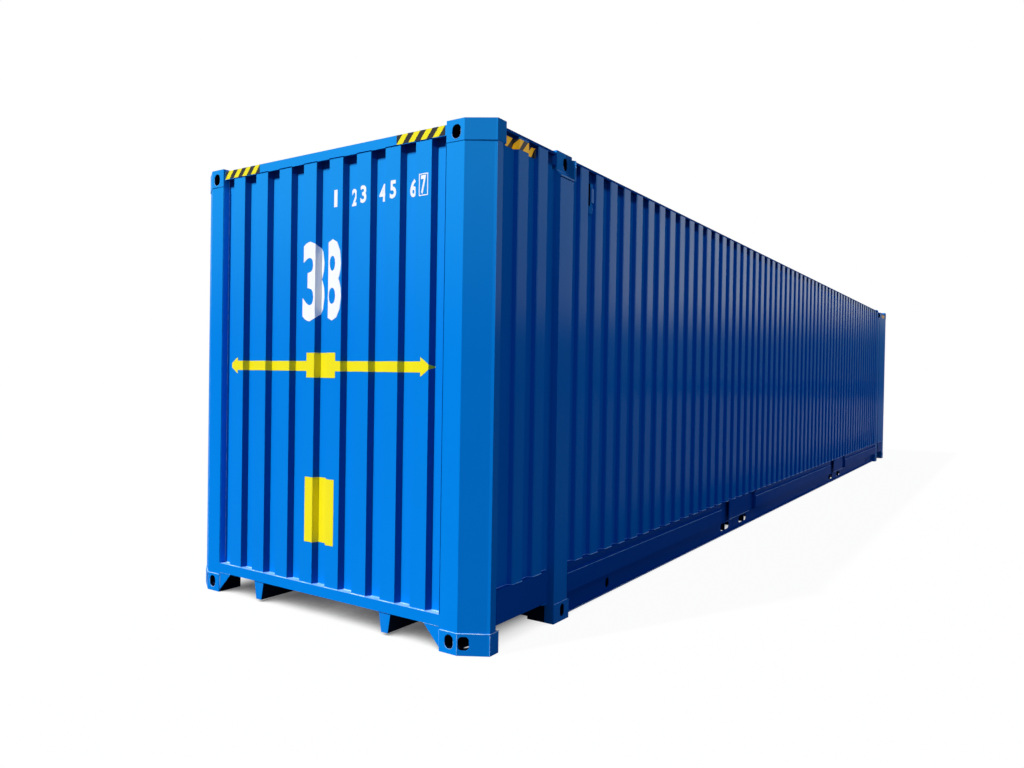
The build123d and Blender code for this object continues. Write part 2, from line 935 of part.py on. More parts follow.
def door_bar(outline):
    """A hollow bar across the door end with the given outline."""
    with BuildPart() as bar:
        with BuildSketch(Plane.YZ.offset(rear_casting_front)) as face:
            with BuildLine():
                Polyline(*outline, close=True)
            make_face()
        extrude(amount=rear_post_depth - door_recess)
        with BuildSketch(Plane.YZ.offset(rear_casting_front + post_plate)):
            add(face.sketch_local)
            offset(amount=-post_plate, kind=Kind.INTERSECTION, mode=Mode.REPLACE)
        extrude(amount=rear_post_depth - door_recess - 2 * post_plate, mode=Mode.SUBTRACT)
    return bar.part


door_sill = [
    (-casting_gap, rail_foot),
    (casting_gap, rail_foot),
    (casting_gap, casting_height),
    (post_gap, casting_height),
    (post_gap, door_sill_top),
    (-post_gap, door_sill_top),
    (-post_gap, casting_height),
    (-casting_gap, casting_height),
]
top_casting = height - casting_height
door_header = [
    (-casting_gap, door_header_top),
    (casting_gap, door_header_top),
    (casting_gap, top_casting),
    (post_gap, top_casting),
    (post_gap, rear_header_bottom),
    (-post_gap, rear_header_bottom),
    (-post_gap, top_casting),
    (-casting_gap, top_casting),
]
save(door_bar(door_sill), "rear_sill")
save(door_bar(door_header), "rear_header")

# Doors
leaf_low_y = door_gap / 2
leaf_high_y = post_gap - door_clearance
leaf_low_z = door_sill_top + door_clearance
leaf_high_z = rear_header_bottom - door_clearance
leaf_centre = ((leaf_low_y + leaf_high_y) / 2, (leaf_low_z + leaf_high_z) / 2)
leaf_size = (leaf_high_y - leaf_low_y, leaf_high_z - leaf_low_z)


def door_leaf():
    """Right door leaf: a hollow frame around a corrugated sheet."""
    panel_width = leaf_size[0] - 2 * door_frame
    valleys = (panel_width - door_corrugations * (door_panel_crest + 2 * door_panel_run)) / (
        door_corrugations + 1
    )
    pitch = door_panel_crest + 2 * door_panel_run + valleys
    with BuildPart() as leaf:
        with BuildSketch(Plane.YZ.offset(door_back)):
            with Locations(leaf_centre):
                Rectangle(*leaf_size)
                Rectangle(panel_width, leaf_size[1] - 2 * door_frame, mode=Mode.SUBTRACT)
        extrude(amount=door_thickness)
        with BuildSketch(Plane.YZ.offset(door_back + beam_plate)):
            with Locations(leaf_centre):
                Rectangle(leaf_size[0] - 2 * beam_plate, leaf_size[1] - 2 * beam_plate)
                Rectangle(
                    panel_width + 2 * beam_plate,
                    leaf_size[1] - 2 * door_frame + 2 * beam_plate,
                    mode=Mode.SUBTRACT,
                )
        extrude(amount=door_thickness - 2 * beam_plate, mode=Mode.SUBTRACT)
        with BuildSketch(Plane.XY.offset(leaf_low_z + door_frame)):
            add(
                corrugated(
                    -panel_width / 2,
                    panel_width / 2,
                    evenly(door_corrugations, pitch),
                    door_panel_crest,
                    door_panel_run,
                    door_panel_depth,
                ).moved(Location((door_face - beam_plate, leaf_centre[0], 0), (0, 0, -90)))
            )
        extrude(amount=leaf_size[1] - 2 * door_frame)
    return leaf.part


right_leaf = door_leaf()
save(right_leaf, "door_right")
save(other_side(right_leaf), "door_left")

with BuildPart() as gasket:
    with BuildSketch(Plane.YZ.offset(door_back + door_thickness / 3)):
        for side in (-1, 1):
            with Locations((side * post_gap / 2, (door_sill_top + rear_header_bottom) / 2)):
                Rectangle(post_gap, rear_header_bottom - door_sill_top)
        for side in (-1, 1):
            with Locations((side * leaf_centre[0], leaf_centre[1])):
                Rectangle(*leaf_size, mode=Mode.SUBTRACT)
    extrude(amount=door_thickness / 2)
save(gasket.part, "door_gaskets")


# Locking bars with their guides and end keepers
bar_head = height - bar_head_drop
bar_guides = [leaf_low_z + share * leaf_size[1] for share in bar_guide_shares]
bar_guides += [bar_foot + keeper_step, bar_head - keeper_step]


def locking_bar(y):
    bar_x = door_face + bar_standoff + bar_radius
    with BuildPart() as bar:
        with BuildSketch(Plane.XY.offset(bar_foot)):
            with Locations((bar_x, y)):
                Circle(bar_radius)
        extrude(amount=bar_head - bar_foot)
        for z in bar_guides:
            with Locations(((door_face + bar_x) / 2, y, z)):
                Box(bar_x - door_face, guide_width, guide_height)
    return bar.part


bar_places = (leaf_low_y + bar_from_edge, leaf_high_y - bar_from_edge)
bars = [locking_bar(y) for y in bar_places]
save(joined(*bars, *[other_side(bar) for bar in bars]), "locking_bars")


# Handles
def handle(y, towards):
    face = door_face + bar_standoff + 2 * bar_radius
    with BuildPart() as piece:
        with BuildSketch(Plane.YZ.offset(face)):
            with Locations((y + towards * handle_length / 2, handle_place)):
                SlotOverall(handle_length, handle_height)
        extrude(amount=handle_thickness)
    return piece.part


handles = [handle(bar_places[0], 1), handle(bar_places[1], -1)]
handles[1] = handles[1].moved(Location((0, 0, handle_height + door_frame)))
save(joined(*handles, *[other_side(piece) for piece in handles]), "door_handles")


# Hinges
def hinge(z):
    with BuildPart() as piece:
        with Locations((door_face + hinge_radius, post_gap - door_clearance, z)):
            Cylinder(hinge_radius, hinge_length)
        with Locations((door_face + hinge_plate / 2, post_gap - door_clearance - hinge_blade / 2, z)):
            Box(hinge_plate, hinge_blade, hinge_length)
    return piece.part


hinge_gap = leaf_size[1] / hinge_count
hinges = [hinge(leaf_low_z + (number + 0.5) * hinge_gap) for number in range(hinge_count)]
save(joined(*hinges, *[other_side(piece) for piece in hinges]), "door_hinges")


# Ventilator covers near the top of the side walls
vent_x = main_crests[0] + side_pitch / 2
with BuildPart() as vent:
    with BuildSketch(Plane.XZ.offset(side_face - side_depth)):
        with Locations((vent_x, height - vent_drop)):
            Rectangle(vent_wide, vent_tall)
    extrude(amount=vent_deep, taper=vent_taper)
save(joined(vent.part, other_side(vent.part)), "side_vents")
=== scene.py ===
import json
import math

import bmesh
import bpy
from mathutils import Matrix, Vector


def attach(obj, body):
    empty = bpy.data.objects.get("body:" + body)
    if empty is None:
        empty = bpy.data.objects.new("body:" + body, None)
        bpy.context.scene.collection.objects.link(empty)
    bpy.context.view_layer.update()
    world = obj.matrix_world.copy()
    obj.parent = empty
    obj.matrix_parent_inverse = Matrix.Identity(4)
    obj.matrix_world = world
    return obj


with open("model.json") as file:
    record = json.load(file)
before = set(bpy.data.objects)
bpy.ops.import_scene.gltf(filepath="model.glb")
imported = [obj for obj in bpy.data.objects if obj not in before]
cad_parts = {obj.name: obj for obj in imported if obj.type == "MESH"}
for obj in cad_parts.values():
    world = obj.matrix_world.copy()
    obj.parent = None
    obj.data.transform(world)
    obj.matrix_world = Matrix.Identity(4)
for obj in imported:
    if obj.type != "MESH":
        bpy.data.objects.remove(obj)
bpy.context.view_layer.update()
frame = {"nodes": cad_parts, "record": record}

# Sizes of the box that the pieces below are fitted to, in metres
HALF_LENGTH = 6.858
SIDE = 1.25
INNER_FACE = 1.219
TOP = 2.896
CASTING = 0.118

FRONT_PITCH = 0.2303
FRONT_CREST = 0.114
FRONT_RUN = 0.015
FRONT_DEPTH = 0.038
FRONT_FACE = -HALF_LENGTH + 0.008
FRONT_HALF = 0.966
SILL_TOP = 0.200
HEADER_FOOT = 2.822
HEADER_TOP = 2.880
HEADER_FACE = -HALF_LENGTH + 0.010

SIDE_PITCH = 0.2106
SIDE_CREST = 0.096
SIDE_RUN = 0.016
SIDE_DEPTH = 0.029
WALL_FOOT = 0.345
WALL_TOP = 2.848
WALL_END = 5.931
OVERHANG_START = 6.680
OVERHANG_END = 6.151
OVERHANG_CRESTS = (-6.508, -6.2974)

# The posts at the inner castings, the castings' plates and hollows, and the chamfer's start and direction
POST_END = 6.093
POST_FACE = 1.247
CASTING_SKIN = 0.004
CORNER_INSIDE = 0.969
LIFT_NEAR, LIFT_FAR = 5.906, 6.096
LIFT_INSIDE = 1.057
CHAMFER_START = 0.155
CHAMFER_TO_END, CHAMFER_TO_SIDE = 0.855, 0.519

# Marking film, and how far the dark undercoat reaches, which is also painted shade under the box
FILM = 0.0006
FILM_GAP = FILM * 0.2
UNDERCOAT_TOP = 0.150
UNDERCOAT_START, UNDERCOAT_END = -6.846, 6.676
UNDERCOAT_HALF = 0.9695
UNDERCOAT_BACK = -6.700
UNDERCOAT_WIDE = 1.185

# A step that tells one face from the next
HAIR = 0.001


# Finishes
class Field:
    """A socket of a finish, so that shader maths reads as plain sums."""

    def __init__(self, finish, socket):
        self.finish = finish
        self.socket = socket

    def maths(self, operation, *values):
        return self.finish.node("Math", {"operation": operation}, dict(enumerate(values)))

    def __add__(self, other):
        return self.maths("ADD", self, other)

    def __radd__(self, other):
        return self.maths("ADD", other, self)

    def __sub__(self, other):
        return self.maths("SUBTRACT", self, other)

    def __rsub__(self, other):
        return self.maths("SUBTRACT", other, self)

    def __mul__(self, other):
        return self.maths("MULTIPLY", self, other)

    def __rmul__(self, other):
        return self.maths("MULTIPLY", other, self)

    def __gt__(self, other):
        return self.maths("GREATER_THAN", self, other)

    def __lt__(self, other):
        return self.maths("LESS_THAN", self, other)

    def between(self, low, high):
        """1 where it lies between low and high, and 0 elsewhere."""
        return (self > low) * (self < high)

    def most(self, other):
        return self.maths("MAXIMUM", self, other)

    def size(self):
        return self.maths("ABSOLUTE", self)

    def over(self, low, high):
        """0 at low and 1 at high, with a soft step between them."""
        return self.finish.node(
            "MapRange",
            {"interpolation_type": "SMOOTHSTEP"},
            {"Value": self, "From Min": low, "From Max": high, "To Min": 0.0, "To Max": 1.0},
        )


class Finish:
    """A named material whose nodes are made by one method."""

    def __init__(self, name):
        self.material = bpy.data.materials.new(name)
        self.start(self.material, "ShaderNodeOutputMaterial")

    def start(self, owner, output):
        """Empty the owner's node tree and give it its output."""
        owner.use_nodes = True
        self.tree = owner.node_tree
        self.tree.nodes.clear()
        self.output = self.tree.nodes.new(output)

    def node(self, kind, settings=None, inputs=None, out=0):
        made = self.tree.nodes.new("ShaderNode" + kind)
        for key, value in (settings or {}).items():
            setattr(made, key, value)
        for key, value in (inputs or {}).items():
            if isinstance(value, Field):
                self.tree.links.new(value.socket, made.inputs[key])
            elif isinstance(value, tuple) and made.inputs[key].type == "RGBA":
                made.inputs[key].default_value = (*value, 1.0)
            else:
                made.inputs[key].default_value = value
        return Field(self, made.outputs[out])

    def place(self):
        """Position on the object, in metres."""
        return self.node("TexCoord", out=3)

    def part(self, vector, axis):
        return self.node("SeparateXYZ", None, {0: vector}, out="XYZ".index(axis))

    def parts(self, vector):
        return [self.part(vector, axis) for axis in "XYZ"]

    def stretched(self, vector, scale):
        return self.node("VectorMath", {"operation": "MULTIPLY"}, {0: vector, 1: scale})

    def noise(self, scale, detail, roughness, vector=None, distortion=0.0):
        return self.node(
            "TexNoise",
            None,
            {
                "Vector": vector or self.place(),
                "Scale": scale,
                "Detail": detail,
                "Roughness": roughness,
                "Distortion": distortion,
            },
        )

    def blend(self, share, first, second):
        return self.node("Mix", {"data_type": "RGBA"}, {0: share, 6: first, 7: second}, out=2)

    def bump(self, height, strength, distance, under=None):
        inputs = {"Height": height, "Strength": strength, "Distance": distance}
        if under:
            inputs["Normal"] = under
        return self.node("Bump", None, inputs)

    def surface(self, **inputs):
        names = {
            "colour": "Base Color",
            "roughness": "Roughness",
            "metallic": "Metallic",
            "specular": "Specular IOR Level",
            "coat": "Coat Weight",
            "coat_roughness": "Coat Roughness",
            "normal": "Normal",
            "glow": "Emission Color",
            "glow_strength": "Emission Strength",
        }
        self.show(self.node("BsdfPrincipled", None, {names[key]: value for key, value in inputs.items()}))
        return self.material

    def show(self, shader):
        self.tree.links.new(shader.socket, self.output.inputs["Surface"])


# Colours of the paint with its painted shade, sheen and highlight, the undercoat and the dust
BLUE = (0.0007, 0.226, 0.745)
BLUE_DEEP = (0.0006, 0.204, 0.690)
BLUE_PALE = (0.004, 0.248, 0.790)
# Paler paint towards the top: a painted sheen of sky light
BLUE_PAINTED_SHEEN = (0.014, 0.318, 0.800)
# Painted shade in the folds of the side sheets
BLUE_FOLD_SHADE = (0.002, 0.125, 0.640)
# Painted shade on the low rails
BLUE_LOW_SHADE = (0.001, 0.080, 0.420)
# Painted shade and painted shadow in sheltered places
BLUE_PAINTED_SHADE = (0.0005, 0.020, 0.180)
# Painted highlight on the sill ledge
LEDGE_HIGHLIGHT = (0.30, 0.55, 0.92)
# Undercoat, also painted shade under the box and inside the castings
UNDERCOAT_AND_SHADE = (0.003, 0.006, 0.020)
PRIMER = (0.10, 0.13, 0.18)
DUST = (0.10, 0.17, 0.30)

# Shares of painted shade in the side valleys, and more of it on the slanted faces
VALLEY_SHADE_SHARE, SLANT_SHADE_SHARE = 0.3, 0.5
CREST_BAND = 0.006

# Where painted shade and painted shadow darken the paint, and how much of it
HEADER_SHADE = (2.762, 2.784)
RAIL_SHADE = (2.770, 2.805)
RAMP_FOOT = 2.750
RAMP_ALONG = (5.904, 5.984)
RAMP_ACROSS = (1.214, 1.240)
CHAMFER_BACK = -6.770
FLANK_SHADE_SHARE, HEADER_SHADOW_SHARE, RAIL_SHADOW_SHARE, RAMP_SHADE_SHARE, CHAMFER_SHADE_SHARE = 0.62, 0.92, 0.85, 0.50, 0.15

# Where the long sides are glossy: from the foot up, from the middle up, and less towards the ends
GLOSS_FOOT, GLOSS_MIDDLE, GLOSS_ENDS = (0.45, 0.75), (1.44, 1.62), (4.3, 6.2)
# Band where the paint turns paler upwards, a painted sheen of sky light
PAINTED_SHEEN_BAND = (1.5, 2.95)


def undercoat_and_shade(finish, place):
    """Where the dark undercoat lies: below the floor, between the end sills and the castings, also as painted
    shade.
    """
    along, across, level = finish.parts(place)
    beneath = (level < UNDERCOAT_TOP) * along.between(UNDERCOAT_START, UNDERCOAT_END)
    half = UNDERCOAT_HALF + (along > UNDERCOAT_BACK) * (UNDERCOAT_WIDE - UNDERCOAT_HALF)
    return beneath * (across.size() < half)


def casting_hollow_shade(finish, place):
    """The insides of all the castings, behind their plates, blackened as painted shade."""
    along, across, level = finish.parts(place)
    lower = level < TOP / 2
    along, across, level = along.size(), across.size(), (level - TOP / 2).size()
    skin = CASTING_SKIN
    inside = level.between(TOP / 2 - CASTING + skin, TOP / 2 - skin) * (along < HALF_LENGTH - skin)
    corner = (along - HALF_LENGTH) * CHAMFER_TO_END + (across - SIDE + CHAMFER_START) * CHAMFER_TO_SIDE
    outer = (along > OVERHANG_START + skin) * across.between(CORNER_INSIDE + skin, SIDE - skin)
    lifting = along.between(LIFT_NEAR + skin, LIFT_FAR - skin) * (across > LIFT_INSIDE + skin)
    lifting = lifting * (across < INNER_FACE - skin + lower * (SIDE - INNER_FACE))
    return inside * (outer * (corner < -skin)).most(lifting)


def crest_faces(finish, place):
    """Where the flat outer faces of the long sides are, and not the valleys between them."""
    return finish.part(place, "Y").size() > SIDE - CREST_BAND


def painted_fold_shade(finish, place):
    """Painted shade on the slanted faces between crests and valleys, and fainter in the valleys too."""
    across = finish.part(place, "Y").size()
    return (across < SIDE - CREST_BAND) * (VALLEY_SHADE_SHARE + (across > SIDE - SIDE_DEPTH + 0.002) * SLANT_SHADE_SHARE)


def painted_shade_faces(finish, place):
    """Where painted shade and painted shadow darken the paint.

    That is painted shade on the sides of the front folds that face left, painted shadow under the header
    and the top rails, and painted shade on the top ramps and, faintly, on the left chamfer.
    """
    along, across, level = finish.parts(place)
    facing = finish.part(finish.node("TexCoord", out=1), "Y")
    far, wide = along.size(), across.size()
    folded_back = along.between(FRONT_FACE + HAIR, FRONT_FACE + FRONT_DEPTH + 0.003) * (wide < FRONT_HALF)
    flanks = folded_back * (facing < -0.5) * FLANK_SHADE_SHARE
    under_header = folded_back * (along > FRONT_FACE + 0.006) * level.over(*HEADER_SHADE) * HEADER_SHADOW_SHARE
    valley = wide.between(SIDE - SIDE_DEPTH - 0.004, SIDE - CREST_BAND)
    beside_posts = (far < LIFT_NEAR - HAIR).most(far.between(OVERHANG_END, OVERHANG_START - HAIR))
    under_rail = valley * beside_posts * level.over(*RAIL_SHADE) * (level < WALL_TOP + 0.002) * RAIL_SHADOW_SHARE
    ramp = (level > RAMP_FOOT) * far.between(*RAMP_ALONG) * wide.between(*RAMP_ACROSS) * RAMP_SHADE_SHARE
    chamfer = (along < CHAMFER_BACK) * facing.between(-0.7, -0.3) * CHAMFER_SHADE_SHARE
    return flanks.most(under_header).most(under_rail.most(ramp)).most(chamfer)


def ledge_highlight(finish, place):
    """Painted highlight of sky light on the upper face of the front sill, in front of the folds."""
    along, across, level = finish.parts(place)
    upper = level.between(SILL_TOP - HAIR, SILL_TOP + HAIR)
    return upper * (along < FRONT_FACE + FRONT_DEPTH) * (across.size() < FRONT_HALF)


def side_gloss(finish, place):
    """Clear gloss of the outer faces, rubbed dull low down and towards the ends."""
    along, level = finish.part(place, "X").size(), finish.part(place, "Z")
    patchy = finish.noise(1.6, 3.0, 0.5).over(0.2, 0.8) * 0.25 + 0.80
    clear = level.over(*GLOSS_FOOT) * 0.10 + level.over(*GLOSS_MIDDLE) * 0.75
    return clear * patchy * (1.0 - along.over(*GLOSS_ENDS) * 0.65) * crest_faces(finish, place)


def blue_paint(
    name,
    waviness,
    peel=0.10,
    knocks=0.0,
    dusty=0.0,
    hollow=False,
    sheen=0.03,
    folded=False,
    clear=False,
    low=0.0,
):
    """Blue paint on steel.

    The waviness is the plate's and the peel the paint's; knocks and dusty are its wear and sheen its shine.
    Hollow castings get painted shade inside, folded sheet gets painted shade in its folds, clear paint has
    the long sides' gloss, and low is the share of painted shade on the low rails. Every one also gets the
    undercoat, which is partly painted shade under the box, painted shade and shadow in sheltered places, a
    painted highlight on the sill ledge and a paler painted sheen towards the top.
    """
    finish = Finish(name)
    place = finish.place()
    cloud = finish.noise(0.8, 4.0, 0.55).over(0.3, 0.7)
    mottle = finish.noise(14.0, 3.0, 0.6).over(0.25, 0.75)
    runs = finish.noise(1.0, 4.0, 0.6, finish.stretched(place, (9.0, 9.0, 0.35))).over(0.45, 0.8)
    colour = finish.blend(cloud * 0.40 + mottle * 0.12, BLUE, BLUE_DEEP)
    colour = finish.blend(runs * 0.18, colour, BLUE_PALE)
    level = finish.part(place, "Z")
    # Paler towards the top: a painted sheen of sky light
    colour = finish.blend(level.over(*PAINTED_SHEEN_BAND) * 0.8, colour, BLUE_PAINTED_SHEEN)
    # Painted shade in the folds of the side sheets
    if folded:
        colour = finish.blend(painted_fold_shade(finish, place), colour, BLUE_FOLD_SHADE)
    # Painted shade on the low rails
    if low:
        colour = finish.blend(low, colour, BLUE_LOW_SHADE)
    # Painted shade and painted shadow in sheltered places
    colour = finish.blend(painted_shade_faces(finish, place), colour, BLUE_PAINTED_SHADE)
    # Painted highlight on the sill ledge
    colour = finish.blend(ledge_highlight(finish, place) * (0.5 + mottle * 0.4), colour, LEDGE_HIGHLIGHT)
    settled = (1.0 - level.over(0.0, 0.45)) * finish.noise(7.0, 5.0, 0.65).over(0.4, 0.75) * dusty
    colour = finish.blend(settled, colour, DUST)
    rough = 0.42 + mottle * 0.06 + settled * 0.3
    if knocks:
        patches = finish.noise(48.0, 6.0, 0.7, distortion=0.6).over(0.68, 0.71)
        spread = finish.noise(3.5, 2.0, 0.5).over(0.52, 0.66)
        chip = patches * spread * knocks
        colour = finish.blend(chip, colour, PRIMER)
        rough = rough + chip * 0.2
    # Undercoat, also painted shade under the box, and painted shade in the castings' hollows
    dark = undercoat_and_shade(finish, place)
    if hollow:
        dark = dark.most(casting_hollow_shade(finish, place))
    colour = finish.blend(dark, colour, UNDERCOAT_AND_SHADE)
    rough = rough + dark * 0.25
    sheet = finish.noise(2.3, 2.0, 0.4)
    grain = finish.noise(240.0, 2.0, 0.5)
    normal = finish.bump(sheet, 1.0, waviness)
    normal = finish.bump(grain, peel, 0.0003, normal)
    if not clear:
        return finish.surface(colour=colour, roughness=rough, specular=sheen, normal=normal)
    gloss = side_gloss(finish, place)
    return finish.surface(
        colour=colour, roughness=rough, specular=sheen, coat=gloss, coat_roughness=0.12, normal=normal
    )


def weld_paint(name, pale, light, sheen=0.2):
    """Paint over a bead, with the bead's ripples; pale colours make it a painted highlight, dark ones painted
    shade.
    """
    finish = Finish(name)
    ripple = finish.noise(170.0, 2.0, 0.6)
    blotch = finish.noise(22.0, 2.0, 0.5).over(0.35, 0.7)
    colour = finish.blend(blotch, pale, light)
    normal = finish.bump(ripple, 0.9, 0.002)
    return finish.surface(colour=colour, roughness=0.34 + blotch * 0.1, specular=sheen, normal=normal)


def film(name, colour, worn, glow=(0.0, 0.0, 0.0)):
    """Marking film, slightly worn, with a fine grain; its glow is painted light that brightens film in shade.
    """
    finish = Finish(name)
    patch = finish.noise(60.0, 5.0, 0.7).over(0.55, 0.8)
    fade = finish.noise(5.0, 3.0, 0.5).over(0.3, 0.7)
    tone = finish.blend(patch * 0.35 + fade * 0.15, colour, worn)
    normal = finish.bump(finish.noise(420.0, 2.0, 0.5), 0.3, 0.0003)
    return finish.surface(
        colour=tone, roughness=0.38 + patch * 0.12, specular=0.3, normal=normal, glow=glow, glow_strength=1.0
    )


def zinc():
    """Hot-dip zinc coating with its crystals."""
    finish = Finish("zinc_coating")
    crystals = finish.node("TexVoronoi", {"feature": "F1"}, {"Vector": finish.place(), "Scale": 75.0}, out=1)
    grey = finish.blend(0.16, (0.52, 0.54, 0.56), crystals)
    plain = finish.node("HueSaturation", None, {"Saturation": 0.12, "Color": grey})
    stain = finish.noise(14.0, 4.0, 0.6).over(0.5, 0.8)
    tone = finish.blend(stain * 0.5, plain, (0.30, 0.31, 0.32))
    normal = finish.bump(finish.noise(130.0, 3.0, 0.5), 0.25, 0.0005)
    return finish.surface(colour=tone, metallic=0.85, roughness=0.38 + stain * 0.25, normal=normal)


def rubber():
    finish = Finish("door_rubber")
    bloom = finish.noise(18.0, 4.0, 0.6).over(0.4, 0.8)
    ribs = finish.node("TexWave", {"bands_direction": "Z"}, {"Vector": finish.place(), "Scale": 45.0})
    tone = finish.blend(bloom, (0.012, 0.012, 0.013), (0.045, 0.045, 0.048))
    normal = finish.bump(ribs, 0.3, 0.0008)
    return finish.surface(colour=tone, roughness=0.62 + bloom * 0.2, normal=normal)


def plywood():
    finish = Finish("floor_boards")
    place = finish.place()
    grain = finish.noise(3.0, 8.0, 0.7, finish.stretched(place, (1.2, 26.0, 26.0)), 0.4)
    along = finish.part(place, "X")
    joint = finish.node("Math", {"operation": "PINGPONG"}, {0: along, 1: 1.22}) < 0.003
    scuffs = finish.noise(5.0, 6.0, 0.7).over(0.5, 0.8)
    tone = finish.blend(grain.over(0.3, 0.7), (0.34, 0.20, 0.095), (0.20, 0.105, 0.045))
    tone = finish.blend(scuffs * 0.4, tone, (0.17, 0.13, 0.10))
    tone = finish.blend(joint, tone, (0.02, 0.015, 0.01))
    normal = finish.bump(grain, 0.4, 0.0008)
    return finish.surface(colour=tone, roughness=0.5 + scuffs * 0.2, normal=normal)


def seen_directly(finish):
    """1 for what the camera sees, also through glass or in a mirror, and 0 for the light itself."""
    shares = [finish.node("LightPath", out=f"Is {kind} Ray") for kind in ("Camera", "Glossy", "Transmission")]
    return shares[0].most(shares[1]).most(shares[2])


# The floor's shade near the box, less beside its long sides, and how much of the floor glows white
SHADE_REACH, SHADE_END = 0.45, 0.45
BESIDE_BAND, BESIDE_LIFT = (0.85, 1.20), 0.35
FLOOR_GLOW = 0.965


def ground():
    """Pale plain floor: white where it is open, dark under and close to the box."""
    finish = Finish("pale_floor")
    seen = seen_directly(finish)
    fleck = finish.noise(1.5, 2.0, 0.5)
    pale = finish.blend(fleck * 0.3, (0.80, 0.80, 0.80), (0.77, 0.77, 0.78))
    tone = finish.blend(seen, (0.10, 0.105, 0.11), pale)
    matt = finish.node("BsdfDiffuse", None, {"Color": tone})
    open_sky = finish.node("AmbientOcclusion", {"samples": 16}, {"Distance": SHADE_REACH}, out="AO")
    beside = finish.part(finish.place(), "Y").size().over(*BESIDE_BAND) * BESIDE_LIFT
    light = open_sky.most(beside).over(0.0, SHADE_END)
    shade = finish.blend(light, (0.03, 0.03, 0.035), (1.0, 1.0, 1.0))
    glow = finish.node("Emission", None, {"Color": shade, "Strength": 1.0})
    finish.show(finish.node("MixShader", None, {0: seen * FLOOR_GLOW, 1: matt, 2: glow}))
    return finish.material


sheet_paint = blue_paint("blue_on_corrugated_sheet", 0.004)
# Side sheets with painted shade in their folds
side_paint = blue_paint("blue_on_side_sheet", 0.004, sheen=0.004, folded=True, clear=True)
frame_paint = blue_paint("blue_on_folded_plate", 0.002, knocks=0.25, sheen=0.01, clear=True)
# Castings with painted shade in their hollows
cast_paint = blue_paint("blue_on_castings", 0.001, peel=0.4, knocks=0.4, hollow=True, sheen=0.02)
# The rails carry painted shade, darker than the walls
rail_paint = blue_paint("blue_on_rails", 0.002, knocks=0.15, sheen=0.003, low=0.9)
under_paint = blue_paint("blue_on_underframe", 0.002, dusty=0.15)
door_paint = blue_paint("blue_on_doors", 0.003, knocks=0.2)
# Pale beads are painted highlights; dark seams and hollows are painted shade
weld_highlight_finish = weld_paint("weld_painted_highlight", (0.06, 0.36, 0.92), (0.30, 0.66, 0.97))
edge_highlight_finish = weld_paint("painted_edge_highlight", (0.16, 0.48, 0.93), (0.50, 0.72, 0.95))
white_film = film("white_film", (0.96, 0.96, 0.96), (0.78, 0.82, 0.88))
yellow_film = film("yellow_film", (0.92, 0.80, 0.004), (0.82, 0.66, 0.02))
# Amber film with a glow of painted light for the shaded side stripes
amber_film_painted_glow = film("amber_film_painted_glow", (0.95, 0.46, 0.006), (0.95, 0.55, 0.05), (0.30, 0.155, 0.0))
black_film = film("black_film", (0.010, 0.010, 0.012), (0.035, 0.035, 0.04))
# Dark beads along seams, painted shadow lines
seam_shadow_finish = weld_paint("painted_seam_shadow", (0.0, 0.020, 0.150), (0.0, 0.045, 0.260), 0.0)
# Dark plates that stand in as painted shade in openings
hollow_shade_finish = weld_paint("painted_hollow_shade", (0.001, 0.002, 0.006), (0.002, 0.004, 0.012), 0.0)
zinc_finish = zinc()

FINISHES = {
    "castings": cast_paint,
    "posts": frame_paint,
    "end_frame": frame_paint,
    "front_wall": sheet_paint,
    "side_walls": side_paint,
    "rails": rail_paint,
    "roof": sheet_paint,
    "underframe": under_paint,
    "floor": plywood(),
    "doors": door_paint,
    "gaskets": rubber(),
    "door_gear": zinc_finish,
    "vents": frame_paint,
}
for part in frame["record"]["subparts"]:
    piece = frame["nodes"][part["node"]]
    piece.data.materials.clear()
    piece.data.materials.append(FINISHES[part["material_slot"]])


# Shapes
def piece_from(mesh, name, finish):
    """A finished piece in the scene that rides on the box."""
    mesh.name = name
    piece = bpy.data.objects.new(name, mesh)
    bpy.context.scene.collection.objects.link(piece)
    mesh.materials.clear()
    mesh.materials.append(finish)
    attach(piece, "root")
    return piece


def wave(place, centres, crest, run, depth):
    """How far back a corrugated sheet lies at one place across its corrugations."""
    for centre in centres:
        away = abs(place - centre)
        if away <= crest / 2:
            return 0.0
        if away < crest / 2 + run:
            return depth * (away - crest / 2) / run
    return depth


def folds(centres, crest, run):
    """Where a corrugated sheet bends, with crests at the given centres."""
    steps = (-crest / 2 - run, -crest / 2, crest / 2, crest / 2 + run)
    return [centre + step for centre in centres for step in steps]


def evenly(count, pitch):
    """Places at an even pitch around the middle."""
    return [(number - (count - 1) / 2) * pitch for number in range(count)]


FRONT_CENTRES = evenly(8, FRONT_PITCH)
SIDE_CENTRES = evenly(56, SIDE_PITCH)


def front_skin(across, up):
    """A point on the front wall's outer face."""
    back = wave(across, FRONT_CENTRES, FRONT_CREST, FRONT_RUN, FRONT_DEPTH)
    return Vector((FRONT_FACE + back, across, up))


def side_skin(along, up):
    """A point on the left front overhang's outer face, with the rail's lip above the sheet."""
    back = 0.0 if up > WALL_TOP else wave(along, OVERHANG_CRESTS, SIDE_CREST, SIDE_RUN, SIDE_DEPTH)
    return Vector((along, -SIDE + back, up))


def mesh_of(made, name):
    """The mesh of a finished shape."""
    mesh = bpy.data.meshes.new(name)
    made.to_mesh(mesh)
    made.free()
    return mesh


def thicken(made, faces, push):
    """Grow flat faces into a body and turn its faces outwards."""
    grown = bmesh.ops.extrude_face_region(made, geom=faces)
    for part in grown["geom"]:
        if isinstance(part, bmesh.types.BMVert):
            part.co += push
    bmesh.ops.recalc_face_normals(made, faces=made.faces[:])


